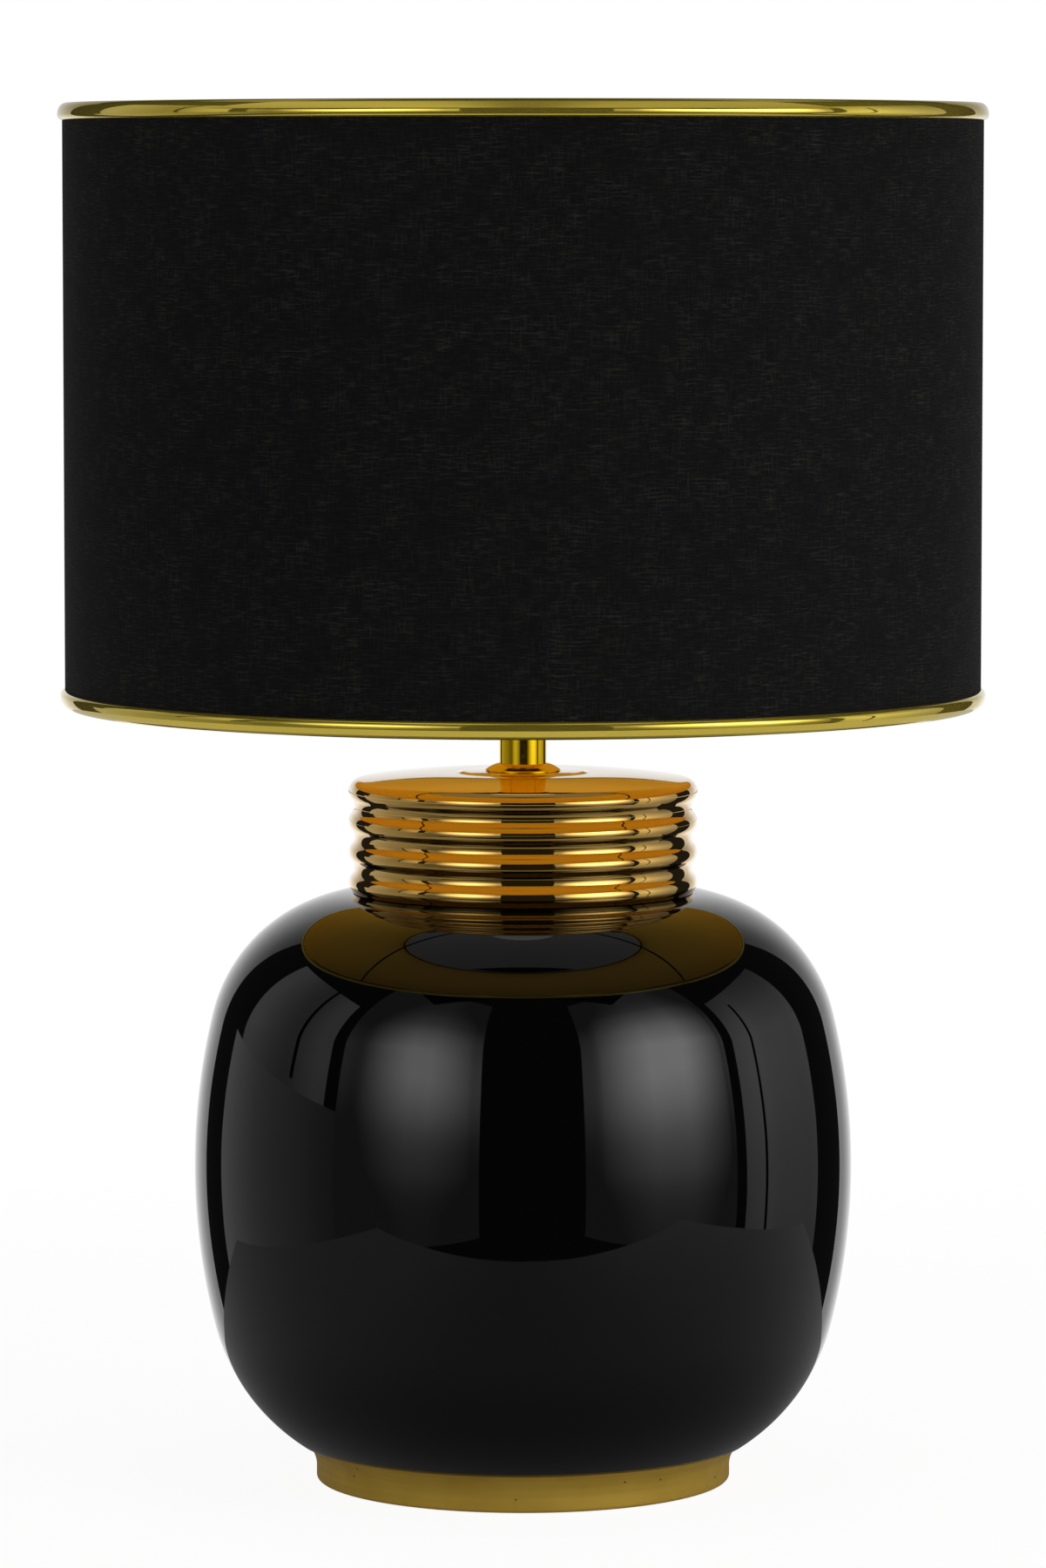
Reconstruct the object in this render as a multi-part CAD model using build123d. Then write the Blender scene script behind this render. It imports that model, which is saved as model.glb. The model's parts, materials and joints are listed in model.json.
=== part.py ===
from build123d import *
import os
from math import asin, cos, degrees, radians, sin, sqrt

# Table lamp: a ceramic jar on a brass foot, a ribbed neck cap, and a drum shade on a screw lampholder.
# All sizes are in millimetres and degrees. The lamp stands on z = 0 and its front faces -Y.

# Felt pad and foot
FELT_T = 1.6                # thickness of the felt pad
FELT_PROUD = 0.4            # how far the felt stands below the foot's rim
FELT_CLEAR = 2.9            # room between the felt and the rod's lower end
FELT_GAP = 0.3              # play round the felt in its rebate
FOOT_RIM_T = 3.5            # rim outside the felt
FOOT_WALL = 8.0             # foot's side wall
FOOT_WEB = 5.2              # floor of the foot that carries the jar
FOOT_EDGE_R = 1.5           # rounding of the foot's lower edge
FOOT_FLARE = 5.0            # how far the foot flares out towards the jar
FOOT_FLARE_R = 14.0         # hollow curve of the flare
FOOT_TOP_EDGE = 1.0         # upright edge above the flare

# Cord grommet at the back of the foot
CORD_HOLE_R = 3.2
GROMMET_WALL = 0.8
GROMMET_FLANGE_W = 1.2
GROMMET_FLANGE_T = 1.4
GROMMET_LIP_W = 0.5
GROMMET_LIP_T = 1.2
GROMMET_FIT = 0.1           # play round the grommet in the foot
SPOT_FACE = 0.4             # flat cut into the foot for the grommet's flange

# Threaded rod and the hardware under the foot
ROD_R = 5.0
ROD_BORE_R = 3.5
ROD_TAIL = 1.0              # rod below the nut
ROD_GRIP = 9.0              # rod inside the lampholder
ROD_PLAY = 0.4              # play round the rod in drilled holes
THREAD_FIT = 0.1            # play between threaded pieces that are fixed together
NUT_FLATS = 14.0
NUT_H = 4.0
NUT_CHAMFER = 0.6
LOCK_R = 9.0
LOCK_T = 1.0
LOCK_TEETH = 12
LOCK_TOOTH_W = 2.0
LOCK_TOOTH_D = 1.6
WASHER_R = 20.0
WASHER_T = 2.0

# Ceramic jar: lower, side and shoulder arcs that run into each other
JAR_WALL = 6.5
JAR_FLOOR_T = 7.0
JAR_HOLE_R = 25.0           # opening in the jar's base
JAR_OVERHANG = 3.15         # jar's base beyond the foot's top edge
LOWER_R = 88.4
LOWER_END_DEG = 56.18       # where the lower arc meets the base, below the horizontal
SIDE_R = 283.0
SIDE_DOWN_DEG = 14.2        # side arc below the belly
SIDE_UP_DEG = 13.8          # side arc above the belly
SHOULDER_R = 70.0
SHOULDER_INSET = 8.25       # crown of the shoulder inside the neck's ribs
MOUTH_WALL = 6.0            # upstand round the jar's mouth
MOUTH_H = 8.0
MOUTH_FIT = 0.5             # play between the upstand and the neck cap

# Neck cap
NECK_R = 76.4               # radius over the ribs
RIB_COUNT = 4
RIB_PITCH = 13.4
RIB_DEPTH = 2.5
CAP_WALL = 3.2
CAP_FOOT_H = 0.85           # upright edge below the lowest rib
CAP_FOOT_IN = 0.5
CAP_EDGE_R = 5.1            # rounding over the top rib
CAP_DOME = 3.0              # rise of the domed top
LAND_R = 26.0               # flat land under the collar
LAND_STEP = 0.5
LAND_EASE = 1.5

# Collar and neck tube
COLLAR_R = 16.6
COLLAR_EDGE_H = 0.8
COLLAR_H = 3.4
COLLAR_FLOOR = 1.6
COLLAR_LIP = 0.5
TUBE_R = 10.3
TUBE_WALL = 1.0
TUBE_L = 24.0
TUBE_FIT = 0.15

# Lampholder
HOLDER_R = 19.4
HOLDER_NECK_R = 12.0
HOLDER_NECK_H = 4.0
HOLDER_CAP_H = 17.0
HOLDER_CAVITY_R = 14.5
ENTRY_H = 8.0               # threaded entry for the rod
SKIRT_R = 20.0
SKIRT_FLANGE_R = 22.0
SKIRT_FLANGE_T = 2.0
SKIRT_CHAMFER = 1.5
SKIRT_LIP_GAP = 0.3         # skirt's top edge below the bulb's housing
CORE_R = 15.5
CORE_T = 7.0
CORE_FIT = 0.3
BLOCK_OFFSET = 8.0          # terminal blocks to either side of the axis
BLOCK_L = 6.0
BLOCK_W = 7.0
BLOCK_H = 5.5
TERMINAL_R = 1.5
TERMINAL_HEAD_R = 2.4
TERMINAL_HEAD_H = 1.8
TERMINAL_SLOT = 0.7
CONTACT_W = 4.0
CONTACT_T = 0.6
CONTACT_H = 3.8             # spring contact above the core
CONTACT_FOOT_H = 1.0
CONTACT_REACH = 3.0         # spring contact past the axis
CONTACT_PLAY = 0.2          # slot in the core round a contact
GRUB_R = 1.5
GRUB_SLOT = 0.6
GRUB_INSET = 0.4

# Shade rings on the lampholder's thread
RING_FIT = 0.3
RING_WALL = 2.7
RING_H = 7.0
RING_R = 28.5
RING_FLANGE_T = 2.0
RING_RIBS = 12
RING_RIB_T = 1.6
RING_NOTCHES = 24
RING_NOTCH_R = 1.1
RING_EASE = 0.3             # upper ring eased off the fitter so that the shade turns

# Shade
SHADE_R = 200.0             # over the fabric
SHADE_H = 262.0             # over the trims
FABRIC_T = 0.6
LINER_T = 0.4
WIRE_R = 1.75
WIRE_FIT = 0.1
TRIM_H = 7.5
TRIM_PROUD = 2.1
TRIM_CREST = 5.05           # crest of the edging above the shade's edge
TRIM_ROLL = 3.8             # depth of the rolled edge behind the crest
TRIM_FLOOR = 0.9
TRIM_FIT = 0.05
TRIM_LEG_T = 0.8
TRIM_LEG_H = 4.2
FITTER_T = 3.0
FITTER_PLAY = 0.8           # fitter ring round the lampholder's skirt
FITTER_MARGIN = 1.0         # fitter ring outside the shade rings
FITTER_RISE = 18.15         # fitter ring above the outer ends of its arms
ARM_R = 1.5
ARM_STUB = 20.0
ARM_LANDING = 14.0
ARM_OVERRUN = 1.0
ARM_BEND_R = 10.0
ARM_AZIMUTHS = (-150, -30, 90)

# Bulb with an E27 screw cap
BULB_R = 30.0
BULB_L = 108.0
BULB_WALL = 1.2
BULB_CAP_R = 13.2
BULB_CAP_WALL = 0.7
BULB_CAP_L = 21.7
BULB_FIT = 0.4
BULB_GAP = 0.3              # bulb's tip above the spring contact
BUTTON_R = 4.6
BUTTON_H = 1.2
INSULATOR_R = 5.4
INSULATOR_H = 4.3
HOUSING_R = 14.5
HOUSING_EDGE_H = 4.0
HOUSING_L = 46.5
HOUSING_WALL = 2.0
HOUSING_BOW = 1.2           # hollow of the housing's flank

# Heights, from the floor up
ROD_LOW_Z = FELT_T + FELT_CLEAR
NUT_Z = ROD_LOW_Z + ROD_TAIL
LOCK_Z = NUT_Z + NUT_H
WASHER_Z = LOCK_Z + LOCK_T
WEB_Z = WASHER_Z + WASHER_T
SEAT_Z = WEB_Z + FOOT_WEB
GROMMET_Z = (FELT_T + WEB_Z) / 2


def on_arc(centre, radius, angle):
    """Point (radius, height) at an angle on a circle drawn in the turning plane."""
    return (centre[0] + radius * cos(radians(angle)), centre[1] + radius * sin(radians(angle)))


# Jar's arc centres: each lies on the line through the join and its neighbour's centre
CROWN_R = NECK_R - SHOULDER_INSET
BELLY_R = CROWN_R + SHOULDER_R + (SIDE_R - SHOULDER_R) * (1 - cos(radians(SIDE_UP_DEG)))
LOWER_RISE = LOWER_R * sin(radians(LOWER_END_DEG))
BELLY_Z = SEAT_Z + LOWER_RISE + (SIDE_R - LOWER_R) * sin(radians(SIDE_DOWN_DEG))
SIDE_C = (BELLY_R - SIDE_R, BELLY_Z)
SHOULDER_C = on_arc(SIDE_C, SIDE_R - SHOULDER_R, SIDE_UP_DEG)
LOWER_C = on_arc(SIDE_C, SIDE_R - LOWER_R, -SIDE_DOWN_DEG)
CROWN_Z = SHOULDER_C[1] + SHOULDER_R
JAR_BASE_R = on_arc(LOWER_C, LOWER_R, -LOWER_END_DEG)[0]

# Foot's radii, from the jar that stands on it
FOOT_TOP_R = JAR_BASE_R - JAR_OVERHANG
FOOT_R = FOOT_TOP_R - FOOT_FLARE
FELT_R = FOOT_R - FOOT_RIM_T - FELT_GAP

# Neck cap, collar and tube
GROOVE_R = NECK_R - RIB_DEPTH
CAP_INNER_R = GROOVE_R - CAP_WALL
MOUTH_R = CAP_INNER_R - MOUTH_FIT
RIB_Z = CROWN_Z + CAP_FOOT_H + RIB_PITCH / 4
TOP_RIB_Z = RIB_Z + RIB_PITCH * (RIB_COUNT - 1)
LAND_Z = TOP_RIB_Z + CAP_EDGE_R + CAP_DOME + LAND_STEP
TUBE_Z = LAND_Z + COLLAR_FLOOR
TUBE_TOP_Z = TUBE_Z + TUBE_L

# Lampholder and bulb
HOLDER_RIM_Z = TUBE_TOP_Z + HOLDER_CAP_H
CORE_TOP_Z = HOLDER_RIM_Z + CORE_T
BULB_Z = CORE_TOP_Z + CONTACT_H + BULB_GAP
BULB_CAP_Z = BULB_Z + BUTTON_H + INSULATOR_H
HOUSING_Z = BULB_CAP_Z + BULB_CAP_L
HOUSING_TOP_Z = HOUSING_Z + HOUSING_L
HOLDER_TOP_Z = HOUSING_Z - SKIRT_LIP_GAP
SKIRT_BORE_R = BULB_CAP_R + BULB_FIT
SIDE_CONTACT_X = (CORE_R + CORE_FIT + BULB_CAP_R) / 2

# Shade rings, fitter and shade
RING_BORE_R = SKIRT_R + RING_FIT
LOWER_RING_Z = HOLDER_RIM_Z + SKIRT_FLANGE_T
FITTER_Z = LOWER_RING_Z + RING_H
UPPER_RING_Z = FITTER_Z + FITTER_T + RING_EASE
FITTER_R = RING_R + FITTER_MARGIN
ARM_IN_Z = FITTER_Z + FITTER_T / 2
ARM_OUT_Z = ARM_IN_Z - FITTER_RISE
WIRE_LIFT = TRIM_FLOOR + WIRE_FIT / 2 + WIRE_R
SHADE_Z = ARM_OUT_Z - ARM_R - WIRE_R - WIRE_LIFT
SHADE_TOP_Z = SHADE_Z + SHADE_H
LINER_R = SHADE_R - FABRIC_T
WIRE_RING_R = LINER_R - LINER_T - WIRE_FIT - WIRE_R
TRIM_LEG_R = WIRE_RING_R - WIRE_R - WIRE_FIT


def arc(centre, radius, start, end):
    """Arc between two angles, in the turning plane."""
    return CenterArc(centre, radius, start, end - start)


def turned(*edges):
    """Solid turned about the lamp's axis from edges drawn as (radius, height)."""
    return revolve(Plane.XZ * make_face(Curve() + list(edges)), Axis.Z)


def outline(*points):
    """Closed outline of straight edges."""
    return Polyline(*points, close=True)


def band(inner_r, outer_r, low_z, high_z):
    """Plain turned ring."""
    return turned(outline((inner_r, low_z), (outer_r, low_z), (outer_r, high_z), (inner_r, high_z)))


def rod(radius, low_z, high_z):
    """Plain upright cylinder on the lamp's axis."""
    stub = Cylinder(radius, high_z - low_z, align=(Align.CENTER, Align.CENTER, Align.MIN))
    return Pos(0, 0, low_z) * stub


def rearward(radius, start_y, end_y, height):
    """Cylinder that runs towards the lamp's back."""
    return Pos(0, start_y, height) * Rot(-90, 0, 0) * rod(radius, 0, end_y - start_y)


def around(shape, count):
    """Copies of a shape spread evenly about the lamp's axis."""
    return [Rot(0, 0, 360 * turn / count) * shape for turn in range(count)]


# Foot and what lies in its recess

def felt_pad():
    return rod(FELT_R, 0, FELT_T)


def grommet_seat_y():
    return FOOT_R - SPOT_FACE


def foot():
    rebate_r = FOOT_R - FOOT_RIM_T
    recess_r = FOOT_R - FOOT_WALL
    edge_c = (FOOT_R - FOOT_EDGE_R, FELT_PROUD + FOOT_EDGE_R)
    flare_rise = sqrt(FOOT_FLARE * (2 * FOOT_FLARE_R - FOOT_FLARE))
    flare_deg = degrees(asin(flare_rise / FOOT_FLARE_R))
    flare_c = (FOOT_R + FOOT_FLARE_R, SEAT_Z - FOOT_TOP_EDGE - flare_rise)
    body = turned(
        Polyline(
            on_arc(edge_c, FOOT_EDGE_R, -90), (rebate_r, FELT_PROUD), (rebate_r, FELT_T),
            (recess_r, FELT_T), (recess_r, WEB_Z), (ROD_R + ROD_PLAY, WEB_Z), (ROD_R + ROD_PLAY, SEAT_Z),
            (FOOT_TOP_R, SEAT_Z), on_arc(flare_c, FOOT_FLARE_R, 180 - flare_deg),
        ),
        arc(flare_c, FOOT_FLARE_R, 180 - flare_deg, 180),
        Line(on_arc(flare_c, FOOT_FLARE_R, 180), on_arc(edge_c, FOOT_EDGE_R, 0)),
        arc(edge_c, FOOT_EDGE_R, -90, 0),
    )
    body_r = CORD_HOLE_R + GROMMET_WALL + GROMMET_FIT
    flange_r = body_r + GROMMET_FLANGE_W
    body -= rearward(body_r, recess_r - FOOT_WALL, FOOT_R, GROMMET_Z)
    return body - rearward(flange_r, grommet_seat_y(), FOOT_TOP_R, GROMMET_Z)


def cord_grommet():
    recess_r = FOOT_R - FOOT_WALL
    outer_y = grommet_seat_y() + GROMMET_FLANGE_T
    body_r = CORD_HOLE_R + GROMMET_WALL
    lip_r = body_r + GROMMET_LIP_W
    lip_y = sqrt(recess_r ** 2 - lip_r ** 2)
    inner_y = lip_y - GROMMET_LIP_T
    grommet = rearward(body_r, inner_y, outer_y, GROMMET_Z)
    grommet += rearward(body_r + GROMMET_FLANGE_W, grommet_seat_y(), outer_y, GROMMET_Z)
    grommet += rearward(lip_r, inner_y, lip_y, GROMMET_Z)
    return grommet - rearward(CORD_HOLE_R, inner_y, outer_y, GROMMET_Z)


def threaded_rod():
    return band(ROD_BORE_R, ROD_R, ROD_LOW_Z, TUBE_TOP_Z + ROD_GRIP)


def base_nut():
    corner_r = NUT_FLATS / sqrt(3)
    blank = Pos(0, 0, NUT_Z) * extrude(RegularPolygon(corner_r, 6), NUT_H)
    flat_r = NUT_FLATS / 2
    chamfered = turned(outline(
        (0, NUT_Z), (flat_r, NUT_Z), (corner_r, NUT_Z + NUT_CHAMFER), (corner_r, LOCK_Z), (0, LOCK_Z),
    ))
    return (blank & chamfered) - rod(ROD_R + THREAD_FIT, NUT_Z, LOCK_Z)


def base_lock_washer():
    tooth_gap = Pos(LOCK_R, 0, LOCK_Z + LOCK_T / 2) * Box(2 * LOCK_TOOTH_D, LOCK_TOOTH_W, LOCK_T)
    return band(ROD_R + ROD_PLAY, LOCK_R, LOCK_Z, WASHER_Z) - around(tooth_gap, LOCK_TEETH)


def base_washer():
    return band(ROD_R + ROD_PLAY, WASHER_R, WASHER_Z, WEB_Z)


# Jar, neck cap, collar and tube

def jar_section(inset, floor_z):
    """Edges of the jar's section, moved inwards by inset and cut flat at floor_z."""
    floor_deg = degrees(asin((LOWER_C[1] - floor_z) / (LOWER_R - inset)))
    crown_r, crown_z = on_arc(SHOULDER_C, SHOULDER_R - inset, 90)
    return [
        Line((0, floor_z), on_arc(LOWER_C, LOWER_R - inset, -floor_deg)),
        arc(LOWER_C, LOWER_R - inset, -floor_deg, -SIDE_DOWN_DEG),
        arc(SIDE_C, SIDE_R - inset, -SIDE_DOWN_DEG, SIDE_UP_DEG),
        arc(SHOULDER_C, SHOULDER_R - inset, SIDE_UP_DEG, 90),
        Line((crown_r, crown_z), (0, crown_z)),
        Line((0, crown_z), (0, floor_z)),
    ]


def jar_body():
    shell = turned(*jar_section(0, SEAT_Z)) - turned(*jar_section(JAR_WALL, SEAT_Z + JAR_FLOOR_T))
    shell += band(MOUTH_R - MOUTH_WALL, MOUTH_R, CROWN_Z - JAR_WALL, CROWN_Z + MOUTH_H)
    shell -= rod(MOUTH_R - MOUTH_WALL, BELLY_Z, CROWN_Z)
    return shell - rod(JAR_HOLE_R, SEAT_Z, BELLY_Z)


def neck_cap():
    # Ribs and grooves are equal arcs that meet halfway up each slope
    quarter = RIB_PITCH / 4
    half_depth = RIB_DEPTH / 2
    wave_r = (quarter ** 2 + half_depth ** 2) / (2 * half_depth)
    wave_deg = degrees(asin(quarter / wave_r))
    slope_r = NECK_R - half_depth
    ribs = []
    for index in range(RIB_COUNT - 1):
        rib_z = RIB_Z + index * RIB_PITCH
        groove_z = rib_z + RIB_PITCH / 2
        ribs.append(arc((NECK_R - wave_r, rib_z), wave_r, -wave_deg, wave_deg))
        ribs.append(arc((GROOVE_R + wave_r, groove_z), wave_r, 180 + wave_deg, 180 - wave_deg))
    ribs.append(arc((NECK_R - wave_r, TOP_RIB_Z), wave_r, -wave_deg, 0))

    # The dome is level at the land and runs into the rounding over the top rib
    dome_z = LAND_Z - LAND_STEP
    dome_in_r = LAND_R + LAND_EASE
    edge_c = (NECK_R - CAP_EDGE_R, TOP_RIB_Z)
    reach = edge_c[0] - dome_in_r
    height = CAP_EDGE_R + CAP_DOME
    dome_r = (height ** 2 + reach ** 2 - CAP_EDGE_R ** 2) / (2 * CAP_DOME)
    dome_c = (dome_in_r, dome_z - dome_r)
    dome_deg = degrees(asin(reach / (dome_r - CAP_EDGE_R)))

    hole_r = ROD_R + ROD_PLAY
    return turned(
        *ribs,
        arc(edge_c, CAP_EDGE_R, 0, 90 - dome_deg),
        arc(dome_c, dome_r, 90 - dome_deg, 90),
        Polyline(
            (dome_in_r, dome_z), (LAND_R, LAND_Z), (hole_r, LAND_Z), (hole_r, TOP_RIB_Z),
            (CAP_INNER_R, TOP_RIB_Z), (CAP_INNER_R, CROWN_Z), (slope_r - CAP_FOOT_IN, CROWN_Z),
            (slope_r, CROWN_Z + CAP_FOOT_H),
        ),
    )


def neck_collar():
    socket_r = TUBE_R + TUBE_FIT
    top_z = LAND_Z + COLLAR_H
    return turned(outline(
        (ROD_R + ROD_PLAY, LAND_Z), (COLLAR_R, LAND_Z), (COLLAR_R, LAND_Z + COLLAR_EDGE_H),
        (socket_r + COLLAR_LIP, top_z), (socket_r, top_z), (socket_r, TUBE_Z), (ROD_R + ROD_PLAY, TUBE_Z),
    ))


def neck_tube():
    return band(TUBE_R - TUBE_WALL, TUBE_R, TUBE_Z, TUBE_TOP_Z)


# Lampholder

def grub_height():
    return TUBE_TOP_Z + HOLDER_NECK_H / 2


def holder_cap():
    entry_r = ROD_R + THREAD_FIT
    bowl_r = HOLDER_R - HOLDER_NECK_R
    bowl_c = (HOLDER_NECK_R, TUBE_TOP_Z + HOLDER_NECK_H + bowl_r)
    cap = turned(
        arc(bowl_c, bowl_r, -90, 0),
        Polyline(
            on_arc(bowl_c, bowl_r, 0), (HOLDER_R, HOLDER_RIM_Z), (HOLDER_CAVITY_R, HOLDER_RIM_Z),
            (HOLDER_CAVITY_R, TUBE_TOP_Z + ENTRY_H), (entry_r, TUBE_TOP_Z + ENTRY_H), (entry_r, TUBE_TOP_Z),
            (HOLDER_NECK_R, TUBE_TOP_Z), (HOLDER_NECK_R, TUBE_TOP_Z + HOLDER_NECK_H),
        ),
    )
    return cap - rearward(GRUB_R + THREAD_FIT, 0, HOLDER_R, grub_height())


def holder_grub_screw():
    outer_y = HOLDER_NECK_R - GRUB_INSET
    screw = rearward(GRUB_R, ROD_R + THREAD_FIT, outer_y, grub_height())
    return screw - Pos(0, outer_y, grub_height()) * Box(2 * GRUB_R, 2 * GRUB_SLOT, GRUB_SLOT)


def contact_slot(offset):
    """Slot through the core for a contact's upright leg."""
    slot = Box(CONTACT_T + 2 * CONTACT_PLAY, CONTACT_W + 2 * CONTACT_PLAY, CORE_T)
    return Pos(offset, 0, HOLDER_RIM_Z + CORE_T / 2) * slot


def holder_core():
    return rod(CORE_R, HOLDER_RIM_Z, CORE_TOP_Z) - [contact_slot(BLOCK_OFFSET), contact_slot(-BLOCK_OFFSET)]


def holder_skirt():
    lower_bore_r = CORE_R + CORE_FIT
    return turned(outline(
        (lower_bore_r, HOLDER_RIM_Z), (SKIRT_FLANGE_R, HOLDER_RIM_Z), (SKIRT_FLANGE_R, LOWER_RING_Z),
        (SKIRT_R, LOWER_RING_Z), (SKIRT_R, HOLDER_TOP_Z - SKIRT_CHAMFER),
        (SKIRT_R - SKIRT_CHAMFER, HOLDER_TOP_Z), (SKIRT_BORE_R, HOLDER_TOP_Z),
        (SKIRT_BORE_R, BULB_CAP_Z), (lower_bore_r, BULB_CAP_Z),
    ))


def contact_strip(*points):
    """Sprung strip along points given as (across, height)."""
    return extrude(Plane.XZ * trace(Polyline(*points), CONTACT_T), CONTACT_W / 2, both=True)


def centre_contact():
    bend_z = CORE_TOP_Z + CONTACT_FOOT_H
    tip_z = CORE_TOP_Z + CONTACT_H - CONTACT_T / 2
    return contact_strip(
        (BLOCK_OFFSET, HOLDER_RIM_Z), (BLOCK_OFFSET, bend_z),
        (CONTACT_REACH, tip_z), (-CONTACT_REACH, tip_z),
    )


def side_contact():
    bend_z = CORE_TOP_Z + CONTACT_FOOT_H
    return contact_strip(
        (-BLOCK_OFFSET, HOLDER_RIM_Z), (-BLOCK_OFFSET, bend_z), (-SIDE_CONTACT_X, bend_z),
        (-SIDE_CONTACT_X, BULB_CAP_Z - CONTACT_T),
    )


def terminal_blocks():
    block = Box(BLOCK_L, BLOCK_W, BLOCK_H) - Cylinder(TERMINAL_R + THREAD_FIT, BLOCK_H)
    height = HOLDER_RIM_Z - BLOCK_H / 2
    return Compound([Pos(side * BLOCK_OFFSET, 0, height) * block for side in (-1, 1)])


def terminal_screws():
    head_z = HOLDER_RIM_Z - BLOCK_H - TERMINAL_HEAD_H
    screw = rod(TERMINAL_HEAD_R, head_z, head_z + TERMINAL_HEAD_H)
    screw += rod(TERMINAL_R, head_z + TERMINAL_HEAD_H, HOLDER_RIM_Z - CONTACT_PLAY)
    screw -= Pos(0, 0, head_z) * Box(2 * TERMINAL_HEAD_R, TERMINAL_SLOT, 2 * TERMINAL_SLOT)
    return Compound([Pos(side * BLOCK_OFFSET, 0, 0) * screw for side in (-1, 1)])


# Shade rings

def shade_ring():
    """Ring with its flange at the bottom, on z = 0."""
    sleeve_r = RING_BORE_R + RING_WALL
    ring = band(RING_BORE_R, sleeve_r, 0, RING_H) + band(RING_BORE_R, RING_R, 0, RING_FLANGE_T)
    gusset = make_face(outline(
        (sleeve_r - RING_WALL / 2, 0), (RING_R - RING_NOTCH_R, RING_FLANGE_T), (sleeve_r, RING_H),
        (sleeve_r - RING_WALL / 2, RING_H),
    ))
    ring += around(extrude(Plane.XZ * gusset, RING_RIB_T / 2, both=True), RING_RIBS)
    notch = Pos(RING_R, 0, RING_FLANGE_T / 2) * Cylinder(RING_NOTCH_R, RING_FLANGE_T)
    return ring - [Rot(0, 0, 180 / RING_NOTCHES) * copy for copy in around(notch, RING_NOTCHES)]


def shade_ring_upper():
    return Pos(0, 0, UPPER_RING_Z) * shade_ring()


def shade_ring_lower():
    return Pos(0, 0, FITTER_Z) * Rot(180, 0, 0) * shade_ring()


# Shade

def shade_fabric():
    return band(SHADE_R - FABRIC_T, SHADE_R, SHADE_Z + TRIM_FLOOR, SHADE_TOP_Z - TRIM_FLOOR)


def shade_liner():
    return band(LINER_R - LINER_T, LINER_R, SHADE_Z + TRIM_FLOOR, SHADE_TOP_Z - TRIM_FLOOR)


def edge_trim(edge_z, inward):
    """Edging that wraps the shade's edge and its wire, rolled at the edge and tucked in at the fabric."""
    def level(height):
        return edge_z + inward * height

    outer_r = SHADE_R + TRIM_FIT
    crest_r = SHADE_R + TRIM_PROUD
    leg_in_r = TRIM_LEG_R - TRIM_LEG_T
    roll_in_r = crest_r - TRIM_ROLL
    reach = crest_r - outer_r
    rise = TRIM_H - TRIM_CREST
    tuck_r = (reach ** 2 + rise ** 2) / (2 * reach)
    tuck = on_arc((crest_r - tuck_r, TRIM_CREST), tuck_r, degrees(asin(rise / tuck_r)) / 2)
    roll_from = 270 if inward > 0 else 0
    roll = EllipticalCenterArc(
        (roll_in_r, level(TRIM_CREST)), TRIM_ROLL, TRIM_CREST, start_angle=roll_from, arc_size=90,
    )
    edge, crest = (roll @ 0, roll @ 1) if inward > 0 else (roll @ 1, roll @ 0)
    tucked = ThreePointArc(crest, (tuck[0], level(tuck[1])), (outer_r, level(TRIM_H)))
    return turned(
        roll, tucked,
        Polyline(
            tucked @ 1, (outer_r, level(TRIM_FLOOR)), (TRIM_LEG_R, level(TRIM_FLOOR)),
            (TRIM_LEG_R, level(TRIM_LEG_H)), (leg_in_r, level(TRIM_LEG_H)), (leg_in_r, level(TRIM_LEG_T)),
            (TRIM_LEG_R, level(0)), edge,
        ),
    )


def ring_wire(height):
    return Pos(0, 0, height) * Torus(WIRE_RING_R, WIRE_R)


def fitter_ring():
    return band(SKIRT_R + FITTER_PLAY, FITTER_R, FITTER_Z, FITTER_Z + FITTER_T)


def fitter_arms():
    path = Plane.XZ * FilletPolyline(
        (FITTER_R, ARM_IN_Z), (FITTER_R + ARM_STUB, ARM_IN_Z), (WIRE_RING_R - ARM_LANDING, ARM_OUT_Z),
        (WIRE_RING_R + ARM_OVERRUN, ARM_OUT_Z), radius=ARM_BEND_R,
    )
    arm = sweep(Plane(path @ 0, z_dir=path % 0) * Circle(ARM_R), path)
    return Compound([Rot(0, 0, azimuth) * arm for azimuth in ARM_AZIMUTHS])


# Bulb

def bulb_contact():
    return rod(BUTTON_R, BULB_Z, BULB_Z + BUTTON_H)


def bulb_insulator():
    low_z = BULB_Z + BUTTON_H
    return turned(outline(
        (0, low_z), (INSULATOR_R, low_z), (BULB_CAP_R - BULB_CAP_WALL, BULB_CAP_Z), (0, BULB_CAP_Z),
    ))


def bulb_cap():
    inner_r = BULB_CAP_R - BULB_CAP_WALL
    shell = band(inner_r, BULB_CAP_R, BULB_CAP_Z, HOUSING_Z)
    return shell + rod(inner_r, BULB_CAP_Z, BULB_CAP_Z + BULB_CAP_WALL)


def housing_rim_r():
    """Globe's radius where it meets the housing."""
    globe_z = BULB_Z + BULB_L - BULB_R
    return sqrt(BULB_R ** 2 - (globe_z - HOUSING_TOP_Z) ** 2)


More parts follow.
